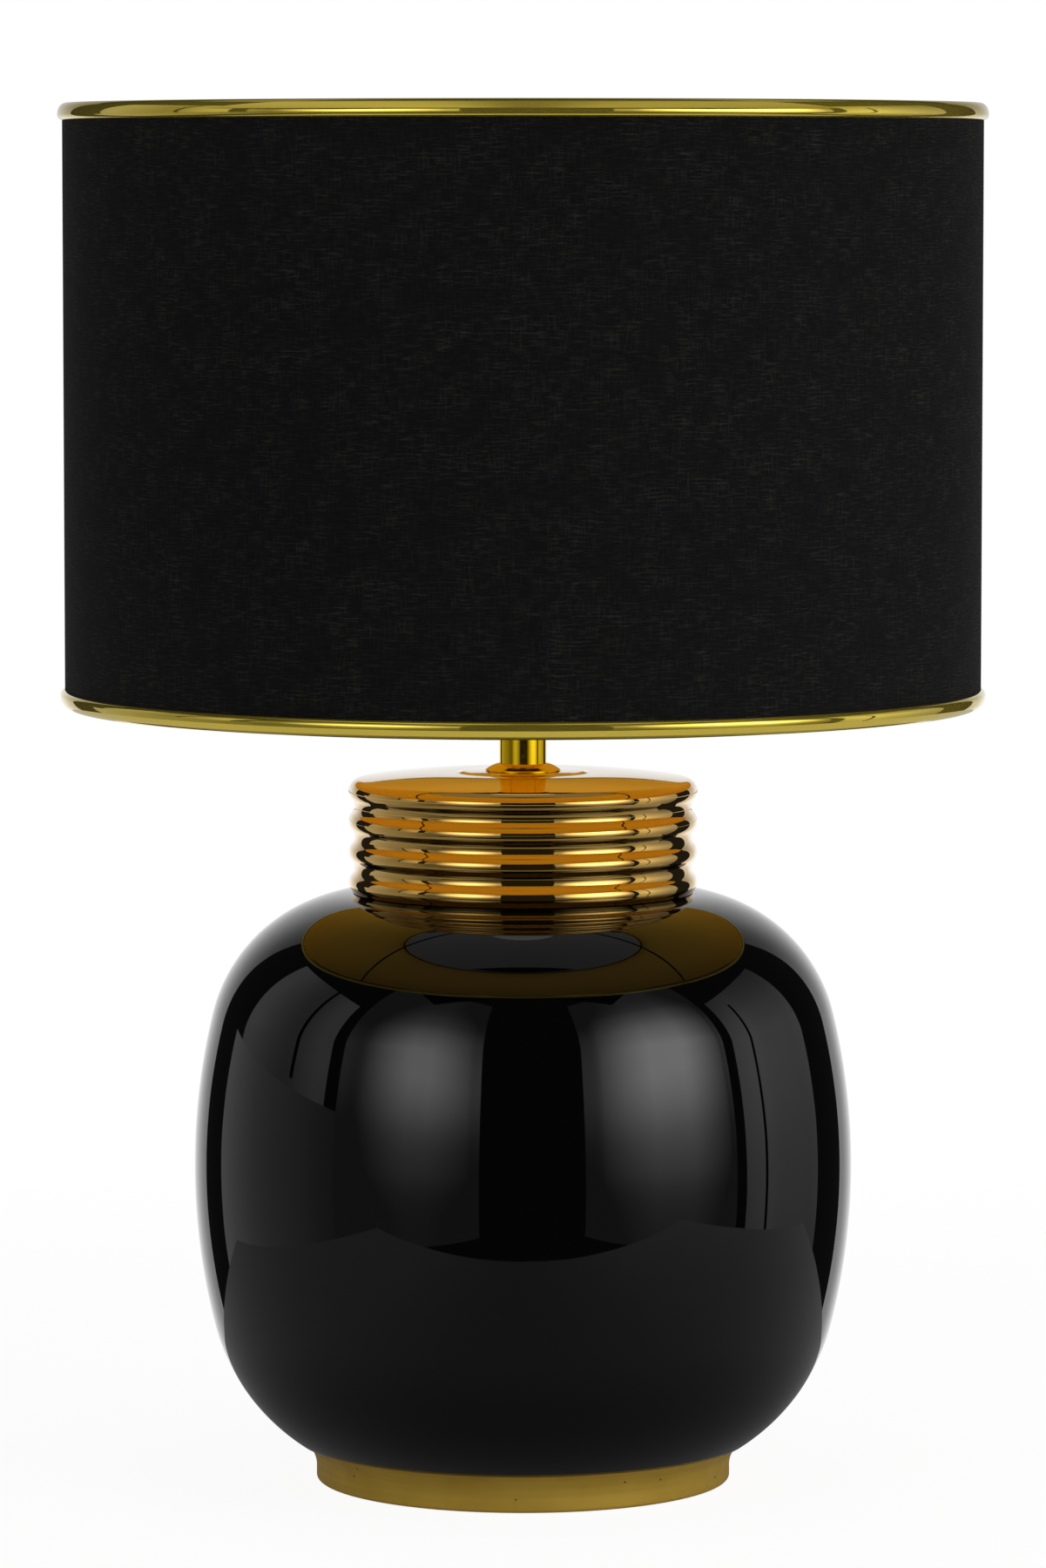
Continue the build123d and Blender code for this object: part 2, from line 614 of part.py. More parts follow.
def bulb_housing():
    rim_r = housing_rim_r()
    edge_z = HOUSING_Z + HOUSING_EDGE_H
    floor_z = HOUSING_Z + HOUSING_WALL
    inner_r = HOUSING_R - HOUSING_WALL
    inner_rim_r = rim_r - HOUSING_WALL
    waist_r = (HOUSING_R + rim_r) / 2 - HOUSING_BOW
    waist_z = (edge_z + HOUSING_TOP_Z) / 2
    return turned(
        Polyline((0, HOUSING_Z), (HOUSING_R, HOUSING_Z), (HOUSING_R, edge_z)),
        ThreePointArc((HOUSING_R, edge_z), (waist_r, waist_z), (rim_r, HOUSING_TOP_Z)),
        Line((rim_r, HOUSING_TOP_Z), (inner_rim_r, HOUSING_TOP_Z)),
        ThreePointArc((inner_rim_r, HOUSING_TOP_Z), (waist_r - HOUSING_WALL, waist_z), (inner_r, edge_z)),
        Polyline((inner_r, edge_z), (inner_r, floor_z), (0, floor_z), (0, HOUSING_Z)),
    )


def bulb_globe():
    globe_z = BULB_Z + BULB_L - BULB_R
    globe = Pos(0, 0, globe_z) * (Sphere(BULB_R) - Sphere(BULB_R - BULB_WALL))
    return globe - rod(BULB_R, HOUSING_Z, HOUSING_TOP_Z)


PIECES = {
    "felt_pad": felt_pad(),
    "foot": foot(),
    "cord_grommet": cord_grommet(),
    "threaded_rod": threaded_rod(),
    "base_nut": base_nut(),
    "base_lock_washer": base_lock_washer(),
    "base_washer": base_washer(),
    "jar_body": jar_body(),
    "neck_cap": neck_cap(),
    "neck_collar": neck_collar(),
    "neck_tube": neck_tube(),
    "holder_cap": holder_cap(),
    "holder_grub_screw": holder_grub_screw(),
    "holder_core": holder_core(),
    "holder_skirt": holder_skirt(),
    "centre_contact": centre_contact(),
    "side_contact": side_contact(),
    "terminal_blocks": terminal_blocks(),
    "terminal_screws": terminal_screws(),
    "shade_ring_lower": shade_ring_lower(),
    "shade_ring_upper": shade_ring_upper(),
    "shade_fabric": shade_fabric(),
    "shade_liner": shade_liner(),
    "shade_bottom_trim": edge_trim(SHADE_Z, 1),
    "shade_top_trim": edge_trim(SHADE_TOP_Z, -1),
    "shade_bottom_wire": ring_wire(SHADE_Z + WIRE_LIFT),
    "shade_top_wire": ring_wire(SHADE_TOP_Z - WIRE_LIFT),
    "fitter_ring": fitter_ring(),
    "fitter_arms": fitter_arms(),
    "bulb_contact": bulb_contact(),
    "bulb_insulator": bulb_insulator(),
    "bulb_cap": bulb_cap(),
    "bulb_housing": bulb_housing(),
    "bulb_globe": bulb_globe(),
}

os.makedirs("parts", exist_ok=True)
for node, shape in PIECES.items():
    export_step(shape, f"parts/{node}.step")
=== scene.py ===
import json
import math

import bpy
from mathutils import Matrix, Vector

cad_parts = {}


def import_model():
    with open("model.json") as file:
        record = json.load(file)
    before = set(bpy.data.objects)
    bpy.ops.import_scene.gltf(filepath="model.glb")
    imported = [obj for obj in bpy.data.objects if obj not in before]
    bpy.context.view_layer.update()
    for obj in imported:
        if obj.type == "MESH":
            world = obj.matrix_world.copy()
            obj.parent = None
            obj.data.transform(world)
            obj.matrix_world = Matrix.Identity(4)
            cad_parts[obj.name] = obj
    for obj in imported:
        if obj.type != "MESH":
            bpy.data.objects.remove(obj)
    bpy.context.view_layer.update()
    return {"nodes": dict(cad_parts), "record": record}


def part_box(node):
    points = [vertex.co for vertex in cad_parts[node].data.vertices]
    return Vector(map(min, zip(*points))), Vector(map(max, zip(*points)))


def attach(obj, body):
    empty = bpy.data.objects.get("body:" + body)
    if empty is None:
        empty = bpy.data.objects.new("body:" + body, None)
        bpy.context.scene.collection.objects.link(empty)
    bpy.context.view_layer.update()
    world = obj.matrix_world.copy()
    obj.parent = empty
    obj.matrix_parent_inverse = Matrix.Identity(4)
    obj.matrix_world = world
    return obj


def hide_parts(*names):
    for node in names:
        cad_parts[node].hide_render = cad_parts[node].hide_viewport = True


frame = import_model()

# All sizes are in metres and all angles in degrees. The lamp's front faces -Y.

# Camera, matched to the photograph's view
CAMERA_PLACE = (0.0, -3.106, 0.5714)
CAMERA_DIP = 4.87
CAMERA_LENS = 163.4

# Jar: three arcs that run into each other, and the wall behind them
JAR_LOWER_R = 0.0884
JAR_LOWER_END = 56.18
JAR_SIDE_R = 0.283
JAR_SIDE_DOWN = 14.2
JAR_SIDE_UP = 13.8
JAR_SHOULDER_R = 0.070
JAR_WALL = 0.0065
JAR_FLOOR = 0.007
JAR_HOLE_R = 0.025
JAR_BASE_EDGE = 0.0006
MOUTH_R = 0.0702
MOUTH_WALL = 0.006

# Neck cap
RIB_COUNT = 4
RIB_PITCH = 0.0134
RIB_DEPTH = 0.0025
CAP_FOOT_H = 0.00085
CAP_FOOT_IN = 0.0005
CAP_EDGE_R = 0.0051
CAP_DOME = 0.003
CAP_INNER_R = 0.0707
LAND_R = 0.026
LAND_STEP = 0.0005
LAND_EASE = 0.0015
LAND_BOW = 0.0001
ROD_HOLE_R = 0.0054

# Collar and neck tube
COLLAR_EDGE_H = 0.0008
COLLAR_ROUND = 0.0003
COLLAR_ROUND_END = 66
COLLAR_LIP_R = 0.01095
TUBE_WALL = 0.001
TUBE_CHAMFER = 0.00025
TUBE_FIT = 0.00015

# Foot, felt and grommet
FOOT_EDGE_R = 0.0015
FOOT_FLARE = 0.005
FOOT_FLARE_R = 0.014
FOOT_TOP_EDGE = 0.001
FOOT_TOP_ROUND = 0.0003
FOOT_RIM_T = 0.0035
FOOT_WALL = 0.008
FOOT_WEB = 0.0052
FELT_EDGE_R = 0.0005
CORD_HOLE_R = 0.0032
GROMMET_WALL = 0.0008
GROMMET_FIT = 0.0001
GROMMET_FLANGE_T = 0.0014
GROMMET_LIP_W = 0.0005
GROMMET_LIP_T = 0.0012
GROMMET_ROUND = 0.0004

# Lampholder and bulb
HOLDER_NECK_R = 0.012
HOLDER_NECK_H = 0.004
HOLDER_CAVITY_R = 0.0145
HOLDER_ENTRY_R = 0.0051
HOLDER_ENTRY_H = 0.008
GRUB_HOLE_R = 0.0016
SKIRT_R = 0.020
SKIRT_FLANGE_T = 0.002
SKIRT_CHAMFER = 0.0015
SKIRT_BORE_R = 0.0136
SKIRT_LOWER_BORE_R = 0.0158
SKIRT_PITCH = 0.0025
SKIRT_THREAD_D = 0.0011
SKIRT_THREAD_FLAT = 1.6
BULB_PITCH = 0.00362
BULB_THREAD_D = 0.0011
BULB_THREAD_FLAT = 1.0
BULB_CAP_WALL = 0.0007
HOUSING_R = 0.0145
HOUSING_EDGE_H = 0.004
HOUSING_BOW = 0.0012
HOUSING_WALL = 0.002
GLOBE_R = 0.030
GLOBE_WALL = 0.0012

# Shade
CLOTH_OVERLAP = 0.012
CLOTH_T = 0.0005
CLOTH_WALL = 0.0006
LAP_CLIMB = 0.6
LINER_T = 0.0004
TRIM_LEG_R = 0.1953
TRIM_LEG_T = 0.0008
TRIM_LEG_H = 0.0042
TRIM_FLOOR = 0.0009
TRIM_CREST = 0.00505
TRIM_ROLL = 0.0038
TRIM_FIT = 0.00005
TRIM_BUTT = 0.0005
WELD_BEAD_R = 0.0026
WELD_BEAD_SQUASH = (0.8, 1.0, 0.72)
WELD_BEAD_UNEVEN = 0.06
ARM_AZIMUTHS = (-150, -30, 90)

# Cloth sizes, from the shade's node
CLOTH_LOW, CLOTH_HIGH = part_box("shade_fabric")
CLOTH_R = CLOTH_HIGH.x
CLOTH_LENGTH = 2 * math.pi * CLOTH_R + CLOTH_OVERLAP
CLOTH_HEIGHT = CLOTH_HIGH.z - CLOTH_LOW.z

# Fineness of the meshes
WELD = 0.000004
STEPS_LARGE = 256
STEPS_SMALL = 96
STEPS_TRIM = 360
STEPS_CLOTH = (480, 16)
SKIRT_RINGS = 8
BULB_RINGS = 10
SHARP = 35

# Tones of the finishes, as linear colours. Most drift between the two of a pair.
GLAZE_TONES = ((0.0010, 0.0010, 0.0011), (0.0018, 0.0017, 0.0017))
GLAZE_PIT = (0.010, 0.009, 0.008)
PLATE_TONES = ((0.86, 0.53, 0.11), (0.80, 0.47, 0.09))
BRASS_TONES = ((0.97, 0.64, 0.015), (0.92, 0.58, 0.010))
TRIM_TONES = ((0.90, 0.70, 0.085), (0.84, 0.63, 0.065))
CONTACT_TONES = ((0.72, 0.50, 0.20), (0.60, 0.40, 0.15))
FOOT_TONES = ((0.76, 0.48, 0.062), (0.98, 0.65, 0.10))
FOOT_STREAK = (0.60, 0.37, 0.05)
FOOT_PIT = (0.06, 0.045, 0.02)
CLOTH_TONES = ((0.0036, 0.0036, 0.0038), (0.0080, 0.0078, 0.0077))
CLOTH_SLUB = (0.041, 0.038, 0.034)
CLOTH_END = (0.030, 0.028, 0.025)
FOIL_TONES = ((0.86, 0.52, 0.05), (0.80, 0.465, 0.04))
FELT_TONES = ((0.010, 0.010, 0.010), (0.045, 0.044, 0.043))
GROMMET_TONES = ((0.012, 0.012, 0.012), (0.022, 0.022, 0.022))
HOLDER_TONES = ((0.016, 0.016, 0.017), (0.026, 0.026, 0.026))
HOUSING_TONES = ((0.78, 0.78, 0.76), (0.84, 0.84, 0.82))
GLASS_TONES = ((0.006, 0.006, 0.007), (0.012, 0.011, 0.012))
PORCELAIN_TONES = ((0.78, 0.76, 0.70), (0.86, 0.84, 0.79))
OPAL_TONES = ((0.86, 0.85, 0.82), (0.90, 0.89, 0.86))
ZINC_TONES = ((0.60, 0.60, 0.58), (0.42, 0.43, 0.42))
NICKEL_TONES = ((0.72, 0.70, 0.66), (0.62, 0.60, 0.56))
SOLDER_TONES = ((0.58, 0.58, 0.57), (0.40, 0.40, 0.40))
WIRE_TONES = ((0.014, 0.014, 0.014), (0.026, 0.026, 0.026))

# Patterns of the finishes
GRAIN_RANGE = (0.3, 0.7)
GLAZE_IOR = 1.5
FOOT_BRUSHING = (9, 9, 420)
THREAD_SCALE = 390.0

# Floor and world
FLOOR_SIZE = 40
FLOOR_PAPER = (0.8, 0.8, 0.8, 1)
FLOOR_WHITE = 0.8
FLOOR_GLOW = 1.15
FLOOR_RUN_OUT = (0.5, 1.4)
FILL_LEVEL = 0.24
GLOSS_LEVEL = 0.015

# Light cards. A fade is a few (place, level) stops from one edge of a card to the other.
SOFTBOX_LEAST = 0.12
LEFT_ACROSS = ((0.0, 0.13), (0.2, 0.22), (0.5, 1.0), (0.65, 0.95), (0.9, 0.4), (1.0, 0.28))
LEFT_CLIMB = (
    (0.0, 0.06), (0.12, 0.13), (0.22, 0.4), (0.32, 1.0),
    (0.4, 0.83), (0.55, 0.36), (0.7, 0.13), (1.0, 0.07),
)
RIGHT_ACROSS = (
    (0.0, 0.12), (0.15, 0.28), (0.45, 0.95), (0.6, 1.07), (0.75, 0.8), (0.95, 0.22), (1.0, 0.15),
)
RIGHT_CLIMB = (
    (0.0, 0.06), (0.12, 0.17), (0.22, 0.5), (0.32, 1.0),
    (0.42, 0.84), (0.55, 0.47), (0.7, 0.14), (1.0, 0.06),
)
LEFT_SIDE_ACROSS = ((0.0, 0.76), (0.17, 0.8), (0.45, 0.58), (0.64, 0.52), (0.85, 0.92), (1.0, 1.0))
LEFT_SIDE_CLIMB = ((0.0, 0.85), (0.1, 0.95), (0.2, 1.05), (0.34, 1.1), (0.48, 1.03), (1.0, 1.0))
LEFT_LOW_ACROSS = ((0.0, 0.96), (0.1, 0.96), (0.3, 0.75), (0.65, 0.51), (0.8, 0.36), (1.0, 0.33))
RIGHT_SIDE_ACROSS = ((0.0, 0.9), (0.25, 1.0), (0.4, 0.84), (0.75, 0.59), (1.0, 0.5))
RIGHT_SIDE_CLIMB = (
    (0.0, 0.45), (0.2, 0.56), (0.37, 0.76), (0.52, 1.0), (0.65, 0.92), (0.8, 0.68), (1.0, 0.4),
)
BACK_ACROSS = ((0.0, 0.7), (0.1, 0.7), (0.25, 1.0), (0.75, 1.0), (0.9, 0.74), (1.0, 0.62))
BACK_CLIMB = ((0.0, 1.25), (0.14, 1.25), (0.3, 1.0), (0.4, 0.97), (0.55, 0.75), (0.75, 0.44), (1.0, 0.3))
TOP_ACROSS = ((0.0, 0.5), (0.3, 0.95), (0.42, 0.8), (0.5, 0.3), (0.6, 0.7), (0.75, 0.7), (1.0, 0.4))
TOP_RIM = ((0.0, 0.0), (0.680, 0.0), (0.684, 1.0), (0.730, 1.0), (0.738, 0.0), (1.0, 0.0))
# The table card's glow is painted light for a lit table: paler to the right and behind, and dimmed round the
# lamp's foot as a painted shadow of the lamp.
TABLE_ACROSS = ((0.0, 0.7), (0.25, 0.64), (0.45, 0.46), (0.65, 0.7), (1.0, 1.0))
TABLE_DEEP = ((0.0, 1.0), (0.7, 1.0), (0.85, 1.5), (1.0, 1.8))
TABLE_PAINTED_SHADOW = ((0.0, 0.6), (0.13, 0.65), (0.17, 0.8), (0.25, 1.0), (1.0, 1.0))


# Outlines drawn as (radius, height) points


def on_arc(centre, radius, angle):
    turn = math.radians(angle)
    return (centre[0] + radius * math.cos(turn), centre[1] + radius * math.sin(turn))


def arc(centre, radius, start, end, pieces):
    """Points along an arc, both ends included."""
    return [on_arc(centre, radius, start + (end - start) * step / pieces) for step in range(pieces + 1)]


def bowed(start, end, bow, pieces):
    """Points between two places on a shallow parabola that stands off the straight line by bow."""
    points = []
    length = math.dist(start, end)
    across = ((end[1] - start[1]) / length, (start[0] - end[0]) / length)
    for step in range(pieces + 1):
        share = step / pieces
        rise = 4 * bow * share * (1 - share)
        spot = [start[axis] + (end[axis] - start[axis]) * share + across[axis] * rise for axis in (0, 1)]
        points.append(tuple(spot))
    return points


def level_points(radius, low, high, pieces):
    """Points up an upright wall."""
    return [(radius, low + (high - low) * step / pieces) for step in range(pieces + 1)]


# Modelling by hand: one vertex is pulled along the outline, then spun


def draw_outline(points, place):
    """Start a mesh with one vertex and extrude it round the closed outline."""
    bpy.ops.object.select_all(action="DESELECT")
    bpy.ops.mesh.primitive_plane_add(size=WELD)
    bpy.ops.object.mode_set(mode="EDIT")
    bpy.ops.mesh.select_all(action="SELECT")
    bpy.ops.mesh.merge(type="CENTER")
    spots = [place(point) for point in points]
    bpy.ops.transform.translate(value=spots[0])
    for here, there in zip(spots, spots[1:] + spots[:1]):
        step = [b - a for a, b in zip(here, there)]
        bpy.ops.mesh.extrude_region_move(TRANSFORM_OT_translate={"value": step})
    bpy.ops.mesh.select_all(action="SELECT")
    bpy.ops.mesh.remove_doubles(threshold=WELD)


def close_mesh():
    """Merge the seam, turn the faces outwards and go back to object mode."""
    bpy.ops.mesh.select_all(action="SELECT")
    bpy.ops.mesh.remove_doubles(threshold=WELD)
    bpy.ops.mesh.normals_make_consistent(inside=False)
    bpy.ops.object.mode_set(mode="OBJECT")
    bpy.ops.object.shade_smooth_by_angle(angle=math.radians(SHARP))
    return bpy.context.object


def turned(points, steps=STEPS_LARGE, butt=0.0):
    """Piece turned about the lamp's axis, with an open butt joint of that angle at the back if asked."""
    draw_outline(points, lambda point: (0.0, point[0], point[1]))
    bpy.ops.mesh.select_all(action="SELECT")
    bpy.ops.mesh.spin(steps=steps, angle=2 * math.pi - butt, center=(0, 0, 0), axis=(0, 0, 1))
    if butt:
        bpy.ops.mesh.select_all(action="SELECT")
        bpy.ops.mesh.fill_holes(sides=0)
    return close_mesh()


def turned_rearward(points, height, steps=STEPS_SMALL):
    """Piece turned about a line that runs to the lamp's back at a height, from (radius, y) points."""
    draw_outline(points, lambda point: (point[0], point[1], height))
    bpy.ops.mesh.select_all(action="SELECT")
    bpy.ops.mesh.spin(steps=steps, angle=2 * math.pi, center=(0, 0, height), axis=(0, 1, 0))
    return close_mesh()


def drill(piece, radius, start_y, end_y, height):
    """Cut a round hole that runs towards the lamp's back."""
    bpy.ops.object.select_all(action="DESELECT")
    middle = (0, (start_y + end_y) / 2, height)
    bpy.ops.mesh.primitive_cylinder_add(
        vertices=STEPS_SMALL, radius=radius, depth=end_y - start_y,
        location=middle, rotation=(math.pi / 2, 0, 0),
    )
    cutter = bpy.context.object
    bpy.context.view_layer.objects.active = piece
    cut = piece.modifiers.new("drilled", "BOOLEAN")
    cut.operation = "DIFFERENCE"
    cut.solver = "EXACT"
    cut.object = cutter
    bpy.ops.object.modifier_apply(modifier=cut.name)
    bpy.data.objects.remove(cutter)
    bpy.ops.object.select_all(action="DESELECT")
    piece.select_set(True)
    bpy.ops.object.shade_smooth_by_angle(angle=math.radians(SHARP))


def cut_thread(piece, radius, low, high, pitch, depth, flat):
    """Sink a helical thread into an upright outer wall. A larger flat gives squarer crests and roots."""
    for vertex in piece.data.vertices:
        across = math.hypot(vertex.co.x, vertex.co.y)
        if abs(across - radius) > WELD * 10 or not low < vertex.co.z < high:
            continue
        turn = math.atan2(vertex.co.y, vertex.co.x)
        wave = math.cos(2 * math.pi * (vertex.co.z - low) / pitch - turn)
        wave = max(-1.0, min(1.0, wave * flat))
        run_out = min(1.0, (vertex.co.z - low) / pitch, (high - vertex.co.z) / pitch)
        shrink = 1 - depth * run_out * (1 - wave) / 2 / across
        vertex.co.x *= shrink
        vertex.co.y *= shrink


def settle(piece, name, slot, body, *nodes):
    """Name a finished piece, give it its finish and body, and hide the CAD nodes it stands for."""
    piece.name = name
    piece.data.name = name
    piece.data.materials.clear()
    piece.data.materials.append(FINISHES[slot])
    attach(piece, body)
    if nodes:
        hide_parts(*nodes)
    return piece


# Node helpers for the finishes


def new_finish(name):
    material = bpy.data.materials.new(name + "_finish")
    material.use_nodes = True
    return material, material.node_tree, material.node_tree.nodes["Principled BSDF"]


def fill(tree, made, inputs):
    """Fill a node's inputs with values or links."""
    for key, value in inputs.items():
        if isinstance(value, bpy.types.NodeSocket):
            tree.links.new(value, made.inputs[key])
        else:
            made.inputs[key].default_value = value


def add_node(tree, kind, inputs=None, **settings):
    """Add a node, set its properties and fill its inputs."""
    made = tree.nodes.new(kind)
    for key, value in settings.items():
        setattr(made, key, value)
    fill(tree, made, inputs or {})
    return made


def place_pattern(tree, scale=(1, 1, 1), source="Object"):
    spot = add_node(tree, "ShaderNodeTexCoord").outputs[source]
    return add_node(tree, "ShaderNodeMapping", {"Vector": spot, "Scale": scale}).outputs["Vector"]


def grain(tree, vector, scale, detail=3.0, roughness=0.5):
    return add_node(tree, "ShaderNodeTexNoise", {
        "Vector": vector, "Scale": scale, "Detail": detail, "Roughness": roughness,
    }).outputs["Fac"]


def remap(tree, value, low, high, to_low, to_high):
    return add_node(tree, "ShaderNodeMapRange", {
        "Value": value, "From Min": low, "From Max": high, "To Min": to_low, "To Max": to_high,
    }).outputs["Result"]


def spread(tree, value, to_low=0.0, to_high=1.0):
    """Stretch the usual range of a grain between two levels."""
    return remap(tree, value, *GRAIN_RANGE, to_low, to_high)


def maths(tree, operation, first, second):
    return add_node(tree, "ShaderNodeMath", {0: first, 1: second}, operation=operation).outputs["Value"]


def blend_colours(tree, share, first, second):
    mix = add_node(tree, "ShaderNodeMix", data_type="RGBA")
    tree.links.new(share, mix.inputs["Factor"])
    for socket, colour in (("A", first), ("B", second)):
        entry = next(s for s in mix.inputs if s.name == socket and s.type == "RGBA")
        if isinstance(colour, bpy.types.NodeSocket):
            tree.links.new(colour, entry)
        else:
            entry.default_value = (*colour, 1)
    return next(s for s in mix.outputs if s.type == "RGBA")


def raise_surface(tree, shader, height, depth, under=None):
    """Bump by a height, in metres of depth, over an earlier bump if there is one."""
    inputs = {"Height": height, "Distance": depth, "Strength": 1.0}
    if under is not None:
        inputs["Normal"] = under
    bump = add_node(tree, "ShaderNodeBump", inputs).outputs["Normal"]
    tree.links.new(bump, shader.inputs["Normal"])
    return bump


def specks(tree, vector, scale, size, share):
    """Scattered round specks: 1 inside a speck, on that share of the cells."""
    cells = add_node(tree, "ShaderNodeTexVoronoi", {"Vector": vector, "Scale": scale})
    inside = remap(tree, cells.outputs["Distance"], size * 0.6, size, 1.0, 0.0)
    chosen = add_node(tree, "ShaderNodeSeparateColor", {"Color": cells.outputs["Color"]}).outputs["Red"]
    picked = maths(tree, "LESS_THAN", chosen, share)
    return maths(tree, "MULTIPLY", inside, picked)


# Finishes


def black_glaze():
    material, tree, shader = new_finish("black_glaze")
    spot = place_pattern(tree)
    pits = specks(tree, spot, scale=42, size=0.035, share=0.10)
    tone = blend_colours(tree, grain(tree, spot, 14), *GLAZE_TONES)
    smooth = remap(tree, grain(tree, spot, 60), 0.35, 0.7, 0.012, 0.035)
    fill(tree, shader, {
        "IOR": GLAZE_IOR,
        "Base Color": blend_colours(tree, pits, tone, GLAZE_PIT),
        "Roughness": maths(tree, "ADD", smooth, maths(tree, "MULTIPLY", pits, 0.3)),
    })
    ripple = raise_surface(tree, shader, grain(tree, spot, 46, detail=1.0), 0.000022)
    raise_surface(tree, shader, maths(tree, "SUBTRACT", 1.0, pits), 0.00015, under=ripple)
    return material


def mirror_gold(name, tones, roughness, ripple, scale, lacquer=0.0, haze=0.0):
    """Bright metal skin with a faint ripple and a drift of colour, lacquered or hazed if asked."""
    material, tree, shader = new_finish(name)
    spot = place_pattern(tree)
    fill(tree, shader, {
        "Metallic": 1 - haze,
        "Coat Weight": lacquer,
        "Base Color": blend_colours(tree, grain(tree, spot, scale), *tones),
        "Roughness": spread(tree, grain(tree, spot, scale * 6), *roughness),
    })
    raise_surface(tree, shader, grain(tree, spot, scale * 2.2, detail=1.5), ripple)
    return material


def gold_plate():
    return mirror_gold("gold_plate", PLATE_TONES, (0.02, 0.06), 0.00002, 30, lacquer=0.9)


def polished_brass():
    return mirror_gold("polished_brass", BRASS_TONES, (0.03, 0.09), 0.00001, 80)


def gold_trim():
    return mirror_gold("gold_trim", TRIM_TONES, (0.02, 0.06), 0.00002, 22, lacquer=0.5, haze=0.18)


def contact_brass():
    return mirror_gold("contact_brass", CONTACT_TONES, (0.18, 0.35), 0.00002, 200)


def satin_brass():
    """Aged brass, brushed round the lamp, with small dark pits."""
    material, tree, shader = new_finish("satin_brass")
    spot = place_pattern(tree)
    cloud = spread(tree, grain(tree, spot, 26, detail=4.0, roughness=0.6))
    streak = spread(tree, grain(tree, place_pattern(tree, FOOT_BRUSHING), 1.0))
    pits = specks(tree, spot, scale=120, size=0.075, share=0.7)
    aged = blend_colours(tree, cloud, *FOOT_TONES)
    brushed = blend_colours(tree, maths(tree, "MULTIPLY", streak, 0.35), aged, FOOT_STREAK)
    fill(tree, shader, {
        "Metallic": 0.45,
        "Base Color": blend_colours(tree, pits, brushed, FOOT_PIT),
        "Roughness": remap(tree, cloud, 0.0, 1.0, 0.45, 0.36),
    })
    brushing = raise_surface(tree, shader, streak, 0.00002)
    raise_surface(tree, shader, maths(tree, "SUBTRACT", 1.0, pits), 0.0002, under=brushing)
    return material


def cloth_grain(tree, along, up, detail, roughness=0.5):
    """Grain with so many cells to the metre along the strip of cloth and up it."""
    cells = place_pattern(tree, (CLOTH_LENGTH * along, CLOTH_HEIGHT * up, 1), source="UV")
    return grain(tree, cells, 1.0, detail, roughness)


def shade_cloth():
    """Fine plain weave with slubs along the weft. The cloth's own map runs from 0 to 1 both ways."""
    material, tree, shader = new_finish("shade_cloth")
    threads = place_pattern(tree, (CLOTH_LENGTH, CLOTH_HEIGHT, 1), source="UV")
    weft, warp = [
        add_node(tree, "ShaderNodeTexWave", {
            "Vector": threads, "Scale": THREAD_SCALE, "Distortion": 1.6, "Detail": 2.0, "Detail Scale": 0.5,
        }, bands_direction=way).outputs["Fac"]
        for way in ("Y", "X")
    ]
    weave = maths(tree, "MULTIPLY", weft, warp)
    patches = remap(tree, cloth_grain(tree, 55, 75, 2.0), 0.35, 0.65, 0.25, 1.0)
    thick_weft = remap(tree, cloth_grain(tree, 130, 1150, 3.0, 0.65), 0.5, 0.74, 0.0, 1.0)
    thick_warp = remap(tree, cloth_grain(tree, 1000, 120, 2.0, 0.6), 0.5, 0.76, 0.0, 1.0)
    slubs = maths(tree, "MULTIPLY", thick_weft, patches)
    ends = maths(tree, "MULTIPLY", thick_warp, patches)
    ground = blend_colours(tree, weave, *CLOTH_TONES)
    slubbed = blend_colours(tree, maths(tree, "MULTIPLY", slubs, 0.9), ground, CLOTH_SLUB)
    fill(tree, shader, {
        "Base Color": blend_colours(tree, maths(tree, "MULTIPLY", ends, 0.6), slubbed, CLOTH_END),
        "Roughness": 0.85,
        "Specular IOR Level": 0.13,
        "Sheen Weight": 0.022,
        "Sheen Roughness": 0.45,
    })
    woven = raise_surface(tree, shader, weave, 0.00012)
    raise_surface(tree, shader, slubs, 0.00010, under=woven)
    return material


def gold_foil():
    material, tree, shader = new_finish("gold_foil")
    spot = place_pattern(tree)
    fill(tree, shader, {
        "Metallic": 0.45,
        "Base Color": blend_colours(tree, grain(tree, spot, 11), *FOIL_TONES),
        "Roughness": spread(tree, grain(tree, spot, 240), 0.34, 0.44),
    })
    raise_surface(tree, shader, grain(tree, spot, 620, detail=2.0), 0.00003)
    return material


def felt():
    material, tree, shader = new_finish("felt")
    spot = place_pattern(tree)
    fibres = grain(tree, spot, 900, detail=6.0, roughness=0.7)
    tufts = maths(tree, "MULTIPLY", fibres, grain(tree, spot, 90))
    fill(tree, shader, {
        "Base Color": blend_colours(tree, remap(tree, tufts, 0.12, 0.4, 0.0, 1.0), *FELT_TONES),
        "Roughness": 0.95,
        "Specular IOR Level": 0.1,
        "Sheen Weight": 0.2,
    })
    raise_surface(tree, shader, fibres, 0.0004)
    return material


def moulded_plastic(name, tones, roughness, texture):
    """Moulded plastic with a fine spark-eroded texture and a faint flow of tone."""
    material, tree, shader = new_finish(name)
    spot = place_pattern(tree)
    fill(tree, shader, {
        "Base Color": blend_colours(tree, grain(tree, spot, 60), *tones),
        "Roughness": spread(tree, grain(tree, spot, 700), *roughness),
    })
    raise_surface(tree, shader, grain(tree, spot, 2600, detail=2.0), texture)
    return material


def black_plastic():
    return moulded_plastic("black_plastic", GROMMET_TONES, (0.45, 0.6), 0.00003)


def holder_plastic():
    return moulded_plastic("holder_plastic", HOLDER_TONES, (0.3, 0.42), 0.000015)


def bulb_plastic():
    return moulded_plastic("bulb_plastic", HOUSING_TONES, (0.3, 0.42), 0.00001)


def black_glass():
    return moulded_plastic("black_glass", GLASS_TONES, (0.05, 0.12), 0.000005)


def porcelain():
    return moulded_plastic("porcelain", PORCELAIN_TONES, (0.12, 0.22), 0.00001)


